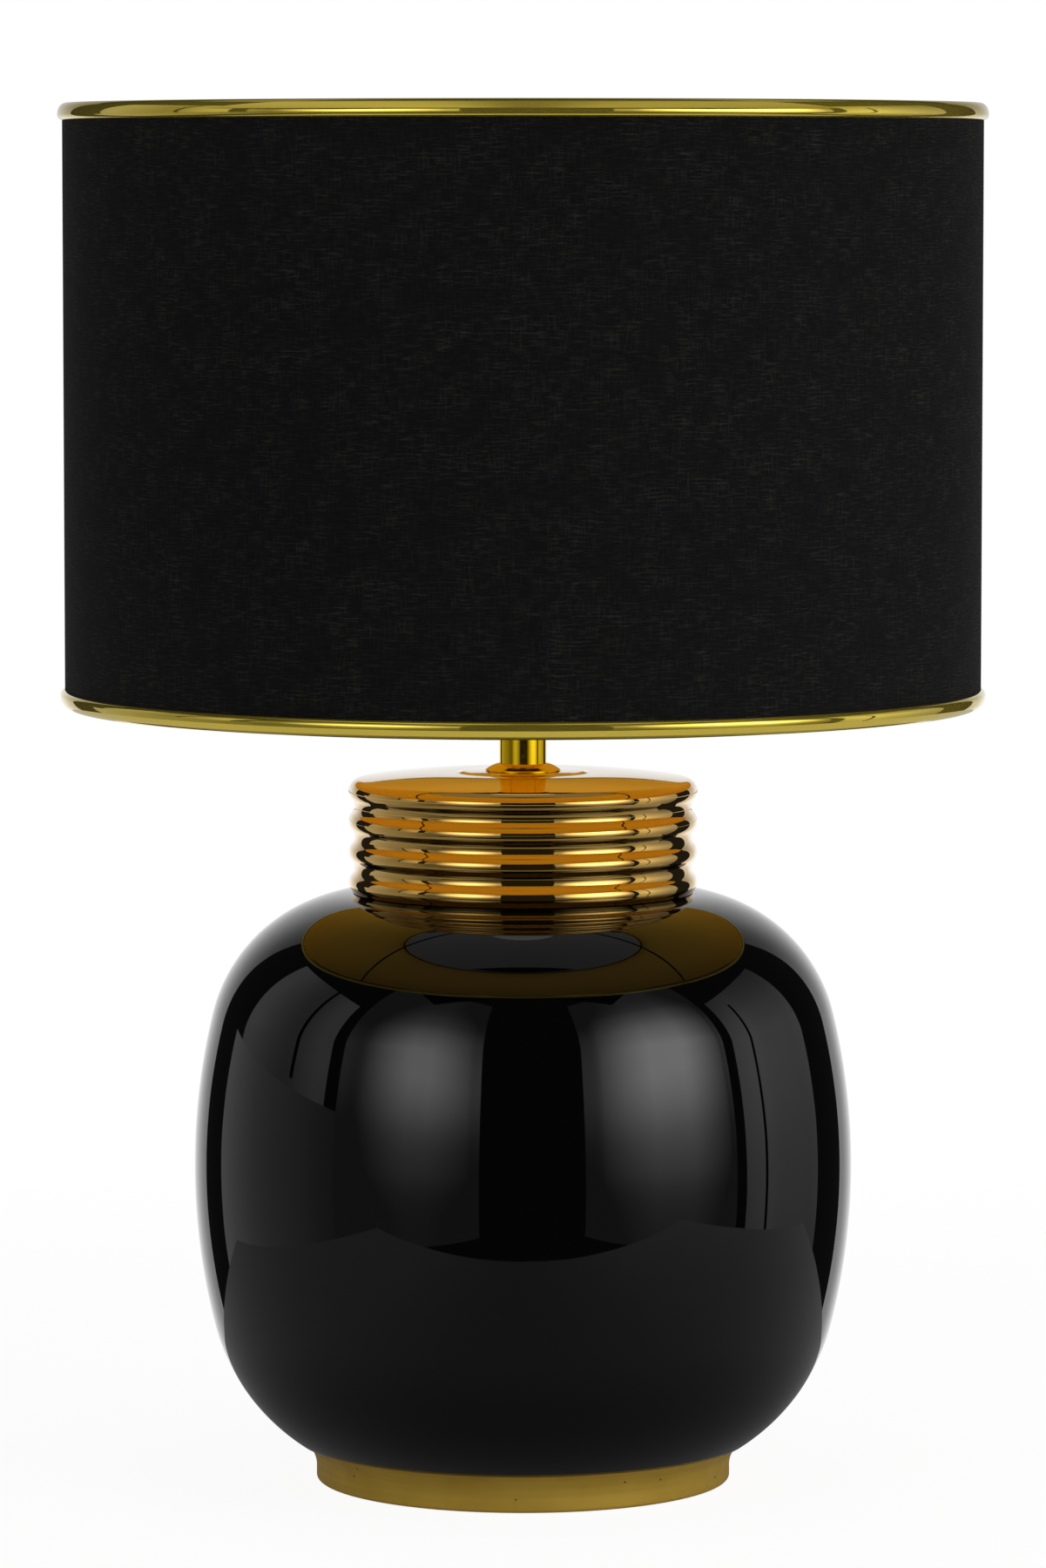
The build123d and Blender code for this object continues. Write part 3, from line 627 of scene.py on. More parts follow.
def opal_diffuser():
    material, tree, shader = new_finish("opal_diffuser")
    spot = place_pattern(tree)
    fill(tree, shader, {
        "Base Color": blend_colours(tree, grain(tree, spot, 40), *OPAL_TONES),
        "Roughness": spread(tree, grain(tree, spot, 900), 0.28, 0.36),
        "Subsurface Weight": 0.25,
        "Subsurface Scale": 0.004,
    })
    raise_surface(tree, shader, grain(tree, spot, 1800, detail=2.0), 0.000006)
    return material


def plated_metal(name, tones, roughness, scale):
    """Plated steel with cloudy crystals and fine scratches."""
    material, tree, shader = new_finish(name)
    spot = place_pattern(tree)
    cells = add_node(tree, "ShaderNodeTexVoronoi", {"Vector": spot, "Scale": scale * 8}).outputs["Color"]
    crystals = add_node(tree, "ShaderNodeSeparateColor", {"Color": cells}).outputs["Green"]
    cloud = maths(tree, "MULTIPLY", crystals, grain(tree, spot, scale))
    fill(tree, shader, {
        "Metallic": 1.0,
        "Base Color": blend_colours(tree, cloud, *tones),
        "Roughness": remap(tree, cloud, 0.0, 0.6, *roughness),
    })
    raise_surface(tree, shader, grain(tree, spot, scale * 20, detail=2.0), 0.00001)
    return material


def zinc_steel():
    return plated_metal("zinc_steel", ZINC_TONES, (0.25, 0.45), 120)


def bulb_nickel():
    return plated_metal("bulb_nickel", NICKEL_TONES, (0.12, 0.26), 150)


def solder():
    return plated_metal("solder", SOLDER_TONES, (0.3, 0.5), 220)


def coated_wire():
    material, tree, shader = new_finish("coated_wire")
    spot = place_pattern(tree)
    peel = grain(tree, spot, 850, detail=2.0)
    fill(tree, shader, {
        "Base Color": blend_colours(tree, grain(tree, spot, 90), *WIRE_TONES),
        "Roughness": spread(tree, peel, 0.35, 0.5),
    })
    raise_surface(tree, shader, peel, 0.00006)
    return material


# Pieces of the base


def foot():
    low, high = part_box("foot")
    felt_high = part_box("felt_pad")[1]
    web_z = high.z - FOOT_WEB
    top_r = high.x
    wall_r = top_r - FOOT_FLARE
    edge_c = (wall_r - FOOT_EDGE_R, low.z + FOOT_EDGE_R)
    flare_rise = math.sqrt(FOOT_FLARE * (2 * FOOT_FLARE_R - FOOT_FLARE))
    flare_deg = math.degrees(math.asin(flare_rise / FOOT_FLARE_R))
    flare_c = (wall_r + FOOT_FLARE_R, high.z - FOOT_TOP_EDGE - flare_rise)
    rebate_r = wall_r - FOOT_RIM_T
    recess_r = wall_r - FOOT_WALL
    outline = arc(edge_c, FOOT_EDGE_R, -90, 0, 8)
    outline += arc(flare_c, FOOT_FLARE_R, 180, 180 - flare_deg, 20)
    outline += arc((top_r - FOOT_TOP_ROUND, high.z - FOOT_TOP_ROUND), FOOT_TOP_ROUND, 0, 90, 4)
    outline += [(ROD_HOLE_R, high.z), (ROD_HOLE_R, web_z), (recess_r, web_z), (recess_r, felt_high.z)]
    outline += [(rebate_r, felt_high.z), (rebate_r, low.z)]
    piece = turned(outline)
    grommet_low, grommet_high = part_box("cord_grommet")
    height = (grommet_low.z + grommet_high.z) / 2
    hole_r = CORD_HOLE_R + GROMMET_WALL + GROMMET_FIT
    drill(piece, hole_r, recess_r - FOOT_WALL, top_r, height)
    flange_r = grommet_high.x + GROMMET_FIT
    drill(piece, flange_r, grommet_high.y - GROMMET_FLANGE_T, top_r + FOOT_WALL, height)
    settle(piece, "brass_foot", "satin_brass", "base", "foot")


def felt_pad():
    low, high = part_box("felt_pad")
    edge = FELT_EDGE_R
    outline = [(0, low.z)]
    outline += arc((high.x - edge, low.z + edge), edge, -90, 0, 4)
    outline += arc((high.x - edge, high.z - edge), edge, 0, 90, 4)
    outline += [(0, high.z)]
    piece = settle(turned(outline, STEPS_SMALL), "felt_disc", "felt", "base", "felt_pad")


def cord_grommet():
    low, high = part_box("cord_grommet")
    height = (low.z + high.z) / 2
    body_r = CORD_HOLE_R + GROMMET_WALL
    lip_r = body_r + GROMMET_LIP_W
    seat_y = high.y - GROMMET_FLANGE_T
    edge = GROMMET_ROUND
    outline = [(CORD_HOLE_R, low.y), (lip_r, low.y), (lip_r, low.y + GROMMET_LIP_T)]
    outline += [(body_r, low.y + GROMMET_LIP_T), (body_r, seat_y), (high.x, seat_y)]
    outline += arc((high.x - edge, high.y - edge), edge, 0, 90, 5)
    outline += arc((CORD_HOLE_R + edge, high.y - edge), edge, 90, 180, 5)
    settle(turned_rearward(outline, height), "grommet_sleeve", "black_plastic", "base", "cord_grommet")


def jar():
    low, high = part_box("jar_body")
    belly_z = low.z + JAR_LOWER_R * math.sin(math.radians(JAR_LOWER_END))
    belly_z += (JAR_SIDE_R - JAR_LOWER_R) * math.sin(math.radians(JAR_SIDE_DOWN))
    side_c = (high.x - JAR_SIDE_R, belly_z)
    shoulder_c = on_arc(side_c, JAR_SIDE_R - JAR_SHOULDER_R, JAR_SIDE_UP)
    lower_c = on_arc(side_c, JAR_SIDE_R - JAR_LOWER_R, -JAR_SIDE_DOWN)
    mouth_deg = math.degrees(math.acos((MOUTH_R - shoulder_c[0]) / JAR_SHOULDER_R))
    base_r = on_arc(lower_c, JAR_LOWER_R, -JAR_LOWER_END)[0]
    outline = [(JAR_HOLE_R, low.z), (base_r - JAR_BASE_EDGE, low.z)]
    outline += arc(lower_c, JAR_LOWER_R, -JAR_LOWER_END, -JAR_SIDE_DOWN, 28)
    outline += arc(side_c, JAR_SIDE_R, -JAR_SIDE_DOWN, JAR_SIDE_UP, 24)
    outline += arc(shoulder_c, JAR_SHOULDER_R, JAR_SIDE_UP, mouth_deg, 40)
    inner_z = low.z + JAR_FLOOR
    inner_r = JAR_LOWER_R - JAR_WALL
    inner_deg = math.degrees(math.asin((lower_c[1] - inner_z) / inner_r))
    inside = arc(lower_c, inner_r, -inner_deg, -JAR_SIDE_DOWN, 8)
    inside += arc(side_c, JAR_SIDE_R - JAR_WALL, -JAR_SIDE_DOWN, JAR_SIDE_UP, 6)
    inside += arc(shoulder_c, JAR_SHOULDER_R - JAR_WALL, JAR_SIDE_UP, 90, 10)
    throat_r = MOUTH_R - MOUTH_WALL
    outline += [(MOUTH_R, high.z), (throat_r, high.z), (throat_r, inside[-1][1])]
    outline += inside[::-1] + [(JAR_HOLE_R, inner_z)]
    settle(turned(outline), "glazed_jar", "black_glaze", "base", "jar_body")


def neck_cap():
    """Lid whose ribs are one wave of arcs, with a rounded edge, a shallow dome and a flat for the collar."""
    low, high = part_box("neck_cap")
    quarter = RIB_PITCH / 4
    half_depth = RIB_DEPTH / 2
    wave_r = (quarter ** 2 + half_depth ** 2) / (2 * half_depth)
    wave_deg = math.degrees(math.asin(quarter / wave_r))
    slope_r = high.x - half_depth
    rib_z = low.z + CAP_FOOT_H + quarter
    top_rib_z = rib_z + RIB_PITCH * (RIB_COUNT - 1)
    outline = [(CAP_INNER_R, top_rib_z), (CAP_INNER_R, low.z), (slope_r - CAP_FOOT_IN, low.z)]
    for index in range(RIB_COUNT - 1):
        crest_z = rib_z + index * RIB_PITCH
        groove_c = (high.x - RIB_DEPTH + wave_r, crest_z + RIB_PITCH / 2)
        outline += arc((high.x - wave_r, crest_z), wave_r, -wave_deg, wave_deg, 12)
        outline += arc(groove_c, wave_r, 180 + wave_deg, 180 - wave_deg, 12)
    outline += arc((high.x - wave_r, top_rib_z), wave_r, -wave_deg, 0, 6)
    dome_z = high.z - LAND_STEP
    dome_in_r = LAND_R + LAND_EASE
    edge_c = (high.x - CAP_EDGE_R, top_rib_z)
    reach = edge_c[0] - dome_in_r
    height = CAP_EDGE_R + CAP_DOME
    dome_r = (height ** 2 + reach ** 2 - CAP_EDGE_R ** 2) / (2 * CAP_DOME)
    dome_deg = math.degrees(math.asin(reach / (dome_r - CAP_EDGE_R)))
    outline += arc(edge_c, CAP_EDGE_R, 0, 90 - dome_deg, 12)
    outline += arc((dome_in_r, dome_z - dome_r), dome_r, 90 - dome_deg, 90, 16)
    outline += bowed((dome_in_r, dome_z), (LAND_R, high.z), LAND_BOW, 6)
    outline += [(ROD_HOLE_R, high.z), (ROD_HOLE_R, top_rib_z)]
    settle(turned(outline), "ribbed_neck", "gold_plate", "base", "neck_cap")


def neck_collar():
    low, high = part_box("neck_collar")
    tube_low, tube_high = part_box("neck_tube")
    socket_r = tube_high.x + TUBE_FIT
    edge_z = low.z + COLLAR_EDGE_H
    round_r = high.x - COLLAR_ROUND
    outline = [(ROD_HOLE_R, low.z)]
    outline += arc((round_r, low.z + COLLAR_ROUND), COLLAR_ROUND, -90, 0, 4)
    outline += arc((round_r, edge_z - COLLAR_ROUND), COLLAR_ROUND, 0, COLLAR_ROUND_END, 4)
    outline += bowed((round_r, edge_z), (COLLAR_LIP_R, high.z), COLLAR_ROUND, 8)
    outline += [(socket_r, high.z), (socket_r, tube_low.z), (ROD_HOLE_R, tube_low.z)]
    settle(turned(outline, STEPS_SMALL), "neck_flange", "polished_brass", "base", "neck_collar")


def neck_tube():
    low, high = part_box("neck_tube")
    edge = TUBE_CHAMFER
    bore_r = high.x - TUBE_WALL
    outline = [(bore_r, low.z), (high.x - edge, low.z), (high.x, low.z + edge)]
    outline += [(high.x, high.z - edge), (high.x - edge, high.z), (bore_r, high.z)]
    settle(turned(outline, STEPS_SMALL), "brass_tube", "polished_brass", "base", "neck_tube")


# Lampholder


def holder_cap():
    low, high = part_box("holder_cap")
    bowl_r = high.x - HOLDER_NECK_R
    bowl_c = (HOLDER_NECK_R, low.z + HOLDER_NECK_H + bowl_r)
    entry_z = low.z + HOLDER_ENTRY_H
    outline = [(HOLDER_ENTRY_R, low.z), (HOLDER_NECK_R, low.z)]
    outline += arc(bowl_c, bowl_r, -90, 0, 14)
    outline += [(high.x, high.z), (HOLDER_CAVITY_R, high.z)]
    outline += [(HOLDER_CAVITY_R, entry_z), (HOLDER_ENTRY_R, entry_z)]
    piece = turned(outline, STEPS_SMALL)
    drill(piece, GRUB_HOLE_R, 0, high.x, low.z + HOLDER_NECK_H / 2)
    settle(piece, "holder_bowl", "holder_plastic", "base", "holder_cap")


def holder_skirt():
    low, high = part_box("holder_skirt")
    thread_low = low.z + SKIRT_FLANGE_T
    thread_high = high.z - SKIRT_CHAMFER
    step_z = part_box("bulb_cap")[0].z
    rings = round((thread_high - thread_low) / SKIRT_PITCH * SKIRT_RINGS)
    outline = [(SKIRT_LOWER_BORE_R, low.z), (high.x, low.z), (high.x, thread_low)]
    outline += level_points(SKIRT_R, thread_low, thread_high, rings)
    outline += [(SKIRT_R - SKIRT_CHAMFER, high.z), (SKIRT_BORE_R, high.z), (SKIRT_BORE_R, step_z)]
    outline += [(SKIRT_LOWER_BORE_R, step_z)]
    piece = turned(outline, STEPS_SMALL)
    cut_thread(piece, SKIRT_R, thread_low, thread_high, SKIRT_PITCH, SKIRT_THREAD_D, SKIRT_THREAD_FLAT)
    settle(piece, "threaded_skirt", "holder_plastic", "base", "holder_skirt")


# Bulb


def bulb_cap():
    low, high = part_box("bulb_cap")
    inner_r = high.x - BULB_CAP_WALL
    floor_z = low.z + BULB_CAP_WALL
    rings = round((high.z - low.z) / BULB_PITCH * BULB_RINGS)
    outline = [(0, low.z)] + level_points(high.x, low.z, high.z, rings)
    outline += [(inner_r, high.z), (inner_r - BULB_THREAD_D, floor_z), (0, floor_z)]
    piece = turned(outline, STEPS_SMALL)
    thread_high = high.z - BULB_PITCH / 2
    cut_thread(piece, high.x, low.z, thread_high, BULB_PITCH, BULB_THREAD_D, BULB_THREAD_FLAT)
    settle(piece, "bulb_screw_shell", "bulb_nickel", "bulb", "bulb_cap")


def bulb_housing():
    low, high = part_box("bulb_housing")
    edge_z = low.z + HOUSING_EDGE_H
    inner_r = HOUSING_R - HOUSING_WALL
    floor_z = low.z + HOUSING_WALL
    flank = bowed((HOUSING_R, edge_z), (high.x, high.z), -HOUSING_BOW, 16)
    inner_flank = bowed((high.x - HOUSING_WALL, high.z), (inner_r, edge_z), HOUSING_BOW, 16)
    outline = [(0, low.z), (HOUSING_R, low.z)] + flank + inner_flank + [(inner_r, floor_z), (0, floor_z)]
    settle(turned(outline, STEPS_SMALL), "bulb_body", "bulb_plastic", "bulb", "bulb_housing")


def bulb_globe():
    low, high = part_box("bulb_globe")
    centre = (0, high.z - GLOBE_R)
    inner_r = GLOBE_R - GLOBE_WALL
    sink = centre[1] - low.z
    rim_deg = -math.degrees(math.asin(sink / GLOBE_R))
    inner_deg = -math.degrees(math.asin(sink / inner_r))
    outline = arc(centre, GLOBE_R, rim_deg, 90, 36) + arc(centre, inner_r, 90, inner_deg, 24)
    settle(turned(outline, STEPS_SMALL), "opal_globe", "opal_diffuser", "bulb", "bulb_globe")


# Shade


def edge_trim(node, name):
    """Edging strip, rolled over the shade's edge and tucked in at the cloth. Its ends butt at the back."""
    low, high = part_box(node)
    top = node == "shade_top_trim"
    edge_z, inward = (high.z, -1) if top else (low.z, 1)
    outer_r = CLOTH_R + TRIM_FIT
    reach = high.x - outer_r
    rise = high.z - low.z - TRIM_CREST
    tuck_r = (reach ** 2 + rise ** 2) / (2 * reach)
    tuck_deg = math.degrees(math.asin(rise / tuck_r))
    quarter = arc((0, 0), 1, -90, 0, 16)
    profile = [(high.x - TRIM_ROLL * (1 - across), TRIM_CREST * (1 + up)) for across, up in quarter]
    profile += arc((high.x - tuck_r, TRIM_CREST), tuck_r, 0, tuck_deg, 12)
    leg_in_r = TRIM_LEG_R - TRIM_LEG_T
    profile += [(outer_r, TRIM_FLOOR), (TRIM_LEG_R, TRIM_FLOOR), (TRIM_LEG_R, TRIM_LEG_H)]
    profile += [(leg_in_r, TRIM_LEG_H), (leg_in_r, TRIM_LEG_T), (TRIM_LEG_R, 0)]
    outline = [(radius, edge_z + inward * height) for radius, height in profile]
    settle(turned(outline, STEPS_TRIM, TRIM_BUTT / high.x), name, "gold_trim", "shade", node)


def shade_liner():
    low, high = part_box("shade_liner")
    inner_r = CLOTH_R - CLOTH_WALL - LINER_T
    outline = level_points(inner_r + LINER_T, low.z, high.z, 4) + level_points(inner_r, high.z, low.z, 4)
    settle(turned(outline), "foil_lining", "gold_foil", "shade", "shade_liner")


def shade_fabric():
    """One strip of cloth wrapped round the lining, its end lapped over its start at the back."""
    bpy.ops.object.select_all(action="DESELECT")
    along_steps, up_steps = STEPS_CLOTH
    bpy.ops.mesh.primitive_grid_add(x_subdivisions=along_steps, y_subdivisions=up_steps, size=1)
    piece = bpy.context.object
    lap_share = CLOTH_OVERLAP / CLOTH_LENGTH
    for vertex in piece.data.vertices:
        along = vertex.co.x + 0.5
        lift = max(0.0, (along - 1 + (1 + LAP_CLIMB) * lap_share) / (LAP_CLIMB * lap_share))
        radius = CLOTH_R - CLOTH_T + CLOTH_T * min(1.0, lift)
        turn = math.pi / 2 + along * CLOTH_LENGTH / CLOTH_R
        height = CLOTH_LOW.z + (vertex.co.y + 0.5) * CLOTH_HEIGHT
        vertex.co = (radius * math.cos(turn), radius * math.sin(turn), height)
    bpy.ops.object.mode_set(mode="EDIT")
    bpy.ops.mesh.select_all(action="SELECT")
    bpy.ops.mesh.normals_make_consistent(inside=False)
    bpy.ops.object.mode_set(mode="OBJECT")
    thicken = piece.modifiers.new("thickness", "SOLIDIFY")
    thicken.thickness = CLOTH_T
    thicken.offset = 1
    bpy.ops.object.modifier_apply(modifier=thicken.name)
    bpy.ops.object.shade_smooth_by_angle(angle=math.radians(SHARP))
    settle(piece, "shade_covering", "shade_cloth", "shade", "shade_fabric")


def weld_beads():
    """A bead where each arm of the fitter meets the bottom wire and the fitter ring."""
    wire_low, wire_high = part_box("shade_bottom_wire")
    ring_low, ring_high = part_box("fitter_ring")
    wire_r = (wire_high.z - wire_low.z) / 2
    outer = (wire_high.x - wire_r, wire_high.z)
    inner = (ring_high.x, (ring_low.z + ring_high.z) / 2)
    beads = []
    for azimuth in ARM_AZIMUTHS:
        turn = math.radians(azimuth)
        for radius, height in (outer, inner):
            bpy.ops.object.select_all(action="DESELECT")
            bpy.ops.mesh.primitive_ico_sphere_add(subdivisions=3, radius=WELD_BEAD_R)
            bpy.ops.object.mode_set(mode="EDIT")
            bpy.ops.mesh.select_all(action="SELECT")
            bpy.ops.transform.resize(value=WELD_BEAD_SQUASH)
            bpy.ops.transform.vertex_random(offset=WELD_BEAD_R * WELD_BEAD_UNEVEN, seed=len(beads))
            bpy.ops.mesh.vertices_smooth(factor=0.5, repeat=2)
            bpy.ops.transform.translate(value=(radius * math.cos(turn), radius * math.sin(turn), height))
            bpy.ops.object.mode_set(mode="OBJECT")
            bpy.ops.object.shade_smooth()
            beads.append(bpy.context.object)
    for bead in beads:
        bead.select_set(True)
    bpy.ops.object.join()
    settle(bpy.context.object, "weld_beads", "coated_wire", "shade")


# Studio: floor, cards that light the lamp and show in its gloss, world and camera


def mix_shaders(tree, share, first, second):
    return add_node(tree, "ShaderNodeMixShader", {0: share, 1: first, 2: second}).outputs["Shader"]


def ray_switch(tree, kind, otherwise, when):
    """Shader that differs for one kind of ray."""
    return mix_shaders(tree, add_node(tree, "ShaderNodeLightPath").outputs[kind], otherwise, when)


def clear_from_below(tree, shader, clear):
    """Shader that gives way to a clear one where the underside is met."""
    return mix_shaders(tree, add_node(tree, "ShaderNodeNewGeometry").outputs["Backfacing"], shader, clear)


def distance_out(tree, place):
    return add_node(tree, "ShaderNodeVectorMath", {0: place}, operation="LENGTH").outputs["Value"]


def bare_material(name):
    """Material with nothing but its output."""
    material = bpy.data.materials.new(name)
    material.use_nodes = True
    material.node_tree.nodes.remove(material.node_tree.nodes["Principled BSDF"])
    return material, material.node_tree, material.node_tree.nodes["Material Output"].inputs["Surface"]


def fade(tree, value, stops):
    """Level that follows (place, level) stops as the value goes from 0 to 1."""
    ramp = add_node(tree, "ShaderNodeValToRGB", {"Fac": value})
    ramp.color_ramp.interpolation = "CARDINAL"
    points = ramp.color_ramp.elements
    while len(points) < len(stops):
        points.new(0.5)
    for point, (place, level) in zip(points, stops):
        point.position = place
        point.color = (level, level, level, 1)
    return ramp.outputs["Color"]


def floor():
    """White floor that keeps the lamp's shadow, runs out into the white world and is clear from below."""
    bpy.ops.object.select_all(action="DESELECT")
    bpy.ops.mesh.primitive_plane_add(size=FLOOR_SIZE)
    ground = bpy.context.object
    ground.name = "floor"
    material, tree, surface = bare_material("pale_floor")
    paper = add_node(tree, "ShaderNodeBsdfDiffuse", {"Color": FLOOR_PAPER}).outputs["BSDF"]
    white = add_node(tree, "ShaderNodeEmission", {"Strength": FLOOR_GLOW}).outputs["Emission"]
    clear = add_node(tree, "ShaderNodeBsdfTransparent").outputs["BSDF"]
    lit = mix_shaders(tree, FLOOR_WHITE, paper, white)
    away = distance_out(tree, add_node(tree, "ShaderNodeTexCoord").outputs["Object"])
    faded = mix_shaders(tree, remap(tree, away, *FLOOR_RUN_OUT, 0.0, 1.0), lit, clear)
    seen = clear_from_below(tree, faded, clear)
    tree.links.new(ray_switch(tree, "Is Camera Ray", paper, seen), surface)
    ground.data.materials.append(material)
    ground.visible_glossy = False


def hang(panel, material):
    """Put its material on a card and keep the card out of the camera's sight."""
    panel.data.materials.append(material)
    panel.visible_camera = False
    panel.visible_shadow = False


def light_card(panel, level, across=None, upward=None, outward=None, least=0.0):
    """Give a card its glow, faded along its own X and Y, and outward from the middle of the lamp's foot."""
    material, tree, surface = bare_material(panel.name)
    glow = add_node(tree, "ShaderNodeEmission", {"Strength": level})
    sides = add_node(tree, "ShaderNodeSeparateXYZ", {
        "Vector": add_node(tree, "ShaderNodeTexCoord").outputs["Object"],
    })
    shares = [fade(tree, maths(tree, "ADD", sides.outputs[axis], 0.5), stops)
              for axis, stops in (("X", across), ("Y", upward)) if stops]
    if outward:
        away = distance_out(tree, add_node(tree, "ShaderNodeNewGeometry").outputs["Position"])
        shares.append(fade(tree, away, outward))
    strength = level
    for share in shares:
        strength = maths(tree, "MULTIPLY", share, strength)
    if shares:
        tree.links.new(maths(tree, "MAXIMUM", strength, least), glow.inputs["Strength"])
    tree.links.new(glow.outputs["Emission"], surface)
    hang(panel, material)


def card(
    name, azimuth, distance, left_deg, right_deg, low_z, high_z, level, across=None, upward=None, least=0.0,
):
    """Upright glowing card that faces the lamp. Azimuth 0 is the front and 90 the lamp's +X side."""
    turn = math.radians(azimuth)
    left = distance * math.tan(math.radians(left_deg))
    right = distance * math.tan(math.radians(right_deg))
    middle = (left + right) / 2
    place = (
        distance * math.sin(turn) + middle * math.cos(turn),
        -distance * math.cos(turn) + middle * math.sin(turn),
        (low_z + high_z) / 2,
    )
    bpy.ops.object.select_all(action="DESELECT")
    bpy.ops.mesh.primitive_plane_add(size=1, location=place, rotation=(math.pi / 2, 0, turn))
    panel = bpy.context.object
    panel.name = name
    panel.scale = (right - left, high_z - low_z, 1)
    light_card(panel, level, across, upward, least=least)


def level_card(name, height, wide, deep, level, **fades):
    """Level glowing card between two X and two Y places."""
    bpy.ops.object.select_all(action="DESELECT")
    bpy.ops.mesh.primitive_plane_add(size=1, location=(sum(wide) / 2, sum(deep) / 2, height))
    panel = bpy.context.object
    panel.name = name
    panel.scale = (wide[1] - wide[0], deep[1] - deep[0], 1)
    light_card(panel, level, **fades)
    return panel


def ring_card(name, height, inner_r, outer_r, level):
    """Level ring round the lamp that glows upwards and is clear from below."""
    bpy.ops.object.select_all(action="DESELECT")
    bpy.ops.mesh.primitive_circle_add(
        vertices=STEPS_SMALL, radius=outer_r, fill_type="NGON", location=(0, 0, height),
    )
    bpy.ops.object.mode_set(mode="EDIT")
    bpy.ops.mesh.select_all(action="SELECT")
    bpy.ops.mesh.inset(thickness=outer_r - inner_r)
    bpy.ops.mesh.delete(type="FACE")
    bpy.ops.object.mode_set(mode="OBJECT")
    panel = bpy.context.object
    panel.name = name
    material, tree, surface = bare_material(name)
    glow = add_node(tree, "ShaderNodeEmission", {"Strength": level}).outputs["Emission"]
    clear = add_node(tree, "ShaderNodeBsdfTransparent").outputs["BSDF"]
    tree.links.new(clear_from_below(tree, glow, clear), surface)
    panel.visible_diffuse = False
    hang(panel, material)


def wrap_card(name, radius, low_z, high_z, level):
    """Upright glowing tube round the lamp's axis."""
    bpy.ops.object.select_all(action="DESELECT")
    bpy.ops.mesh.primitive_cylinder_add(
        vertices=STEPS_SMALL, radius=radius, depth=high_z - low_z, end_fill_type="NOTHING",
        location=(0, 0, (low_z + high_z) / 2),
    )
    panel = bpy.context.object
    panel.name = name
    light_card(panel, level)
    return panel


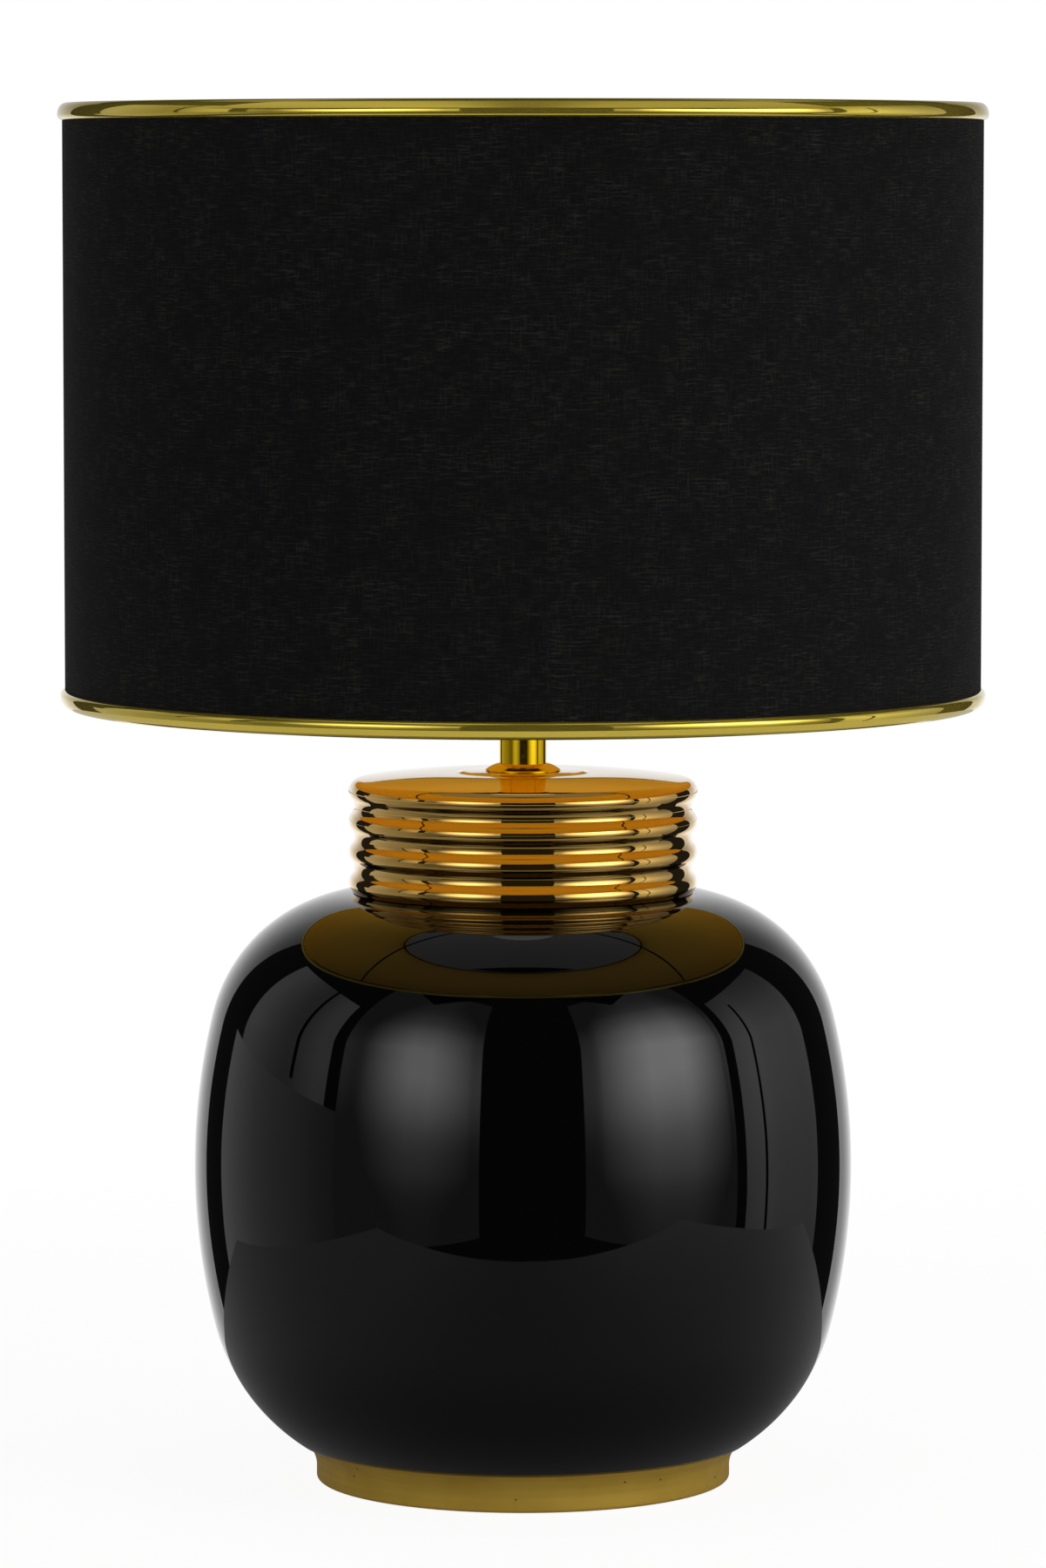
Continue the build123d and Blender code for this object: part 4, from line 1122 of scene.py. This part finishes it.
def studio():
    floor()
    # Table card, seen only in the gloss. Its glow is painted light, paler to the right and behind, with a
    # painted shadow of the lamp round the foot.
    table = level_card(
        "table_top", height=-0.0005, wide=(-0.56, 0.68), deep=(-0.52, 0.2), level=0.34,
        across=TABLE_ACROSS, upward=TABLE_DEEP, outward=TABLE_PAINTED_SHADOW,
    )
    table.visible_diffuse = False
    card(
        "left_softbox", azimuth=-45, distance=1.7, left_deg=-22, right_deg=30.5, low_z=-0.3, high_z=2.5,
        level=2.3, across=LEFT_ACROSS, upward=LEFT_CLIMB, least=SOFTBOX_LEAST,
    )
    card(
        "right_softbox", azimuth=53, distance=1.7, left_deg=-32.2, right_deg=24, low_z=-0.3, high_z=2.5,
        level=3.45, across=RIGHT_ACROSS, upward=RIGHT_CLIMB, least=SOFTBOX_LEAST,
    )
    card(
        "left_side", azimuth=-98, distance=1.6, left_deg=-23, right_deg=25.8, low_z=0.34, high_z=1.5,
        level=0.5, across=LEFT_SIDE_ACROSS, upward=LEFT_SIDE_CLIMB,
    )
    card(
        "left_low", azimuth=-98, distance=1.6, left_deg=-29, right_deg=40, low_z=-0.6, high_z=0.34,
        level=0.42, across=LEFT_LOW_ACROSS,
    )
    card(
        "left_stand", azimuth=-88, distance=1.5, left_deg=-0.9, right_deg=0.8, low_z=0.36, high_z=1.42,
        level=0.0,
    )
    card(
        "right_side", azimuth=102.5, distance=1.6, left_deg=-21.5, right_deg=18.5, low_z=-0.6, high_z=1.37,
        level=0.82, across=RIGHT_SIDE_ACROSS, upward=RIGHT_SIDE_CLIMB,
    )
    card(
        "right_stand", azimuth=90, distance=1.5, left_deg=-0.6, right_deg=0.6, low_z=-0.2, high_z=1.05,
        level=0.0,
    )
    card(
        "back_drop", azimuth=180, distance=1.3, left_deg=-38, right_deg=38, low_z=-0.5, high_z=1.3,
        level=1.0, across=BACK_ACROSS, upward=BACK_CLIMB,
    )
    level_card(
        "top_panel", height=0.65, wide=(-0.3, 0.3), deep=(-0.4, -0.165), level=0.5,
        across=TOP_ACROSS, outward=TOP_RIM,
    )
    level_card("ceiling", height=2.4, wide=(-1.3, 1.3), deep=(-1.3, 1.3), level=0.22)
    ring_card("under_shade", height=0.285, inner_r=0.21, outer_r=0.33, level=0.5)
    inside = wrap_card("inside_light", radius=0.15, low_z=0.36, high_z=0.59, level=1.1)
    inside.visible_glossy = False


def world():
    """White to the camera, nearly dark in the gloss, and a soft fill for the rest."""
    made = bpy.data.worlds.new("studio")
    bpy.context.scene.world = made
    made.use_nodes = True
    tree = made.node_tree
    soft = tree.nodes["Background"]
    soft.inputs["Color"].default_value = (1, 1, 1, 1)
    soft.inputs["Strength"].default_value = FILL_LEVEL
    dark = add_node(tree, "ShaderNodeBackground", {"Color": (1, 1, 1, 1), "Strength": GLOSS_LEVEL})
    white = add_node(tree, "ShaderNodeBackground", {"Color": (1, 1, 1, 1), "Strength": 1.0})
    gloss = ray_switch(tree, "Is Glossy Ray", soft.outputs["Background"], dark.outputs["Background"])
    shown = ray_switch(tree, "Is Camera Ray", gloss, white.outputs["Background"])
    tree.links.new(shown, tree.nodes["World Output"].inputs["Surface"])


def camera():
    bpy.ops.object.camera_add(location=CAMERA_PLACE, rotation=(math.radians(90 - CAMERA_DIP), 0, 0))
    made = bpy.context.object
    made.data.lens = CAMERA_LENS
    bpy.context.scene.camera = made


FINISHES = {
    make.__name__: make() for make in (
        black_glaze, gold_plate, polished_brass, gold_trim, contact_brass, satin_brass, shade_cloth,
        gold_foil, felt, black_plastic, holder_plastic, bulb_plastic, black_glass, porcelain,
        opal_diffuser, zinc_steel, bulb_nickel, solder, coated_wire,
    )
}

for subpart in frame["record"]["subparts"]:
    node = frame["nodes"][subpart["node"]]
    for place in node.material_slots:
        place.material = FINISHES[subpart["material_slot"]]

foot()
felt_pad()
cord_grommet()
jar()
neck_cap()
neck_collar()
neck_tube()
holder_cap()
holder_skirt()
bulb_cap()
bulb_housing()
bulb_globe()
edge_trim("shade_bottom_trim", "bottom_edging")
edge_trim("shade_top_trim", "top_edging")
shade_liner()
shade_fabric()
weld_beads()

camera()
world()
studio()
bpy.context.scene.view_settings.view_transform = "Standard"
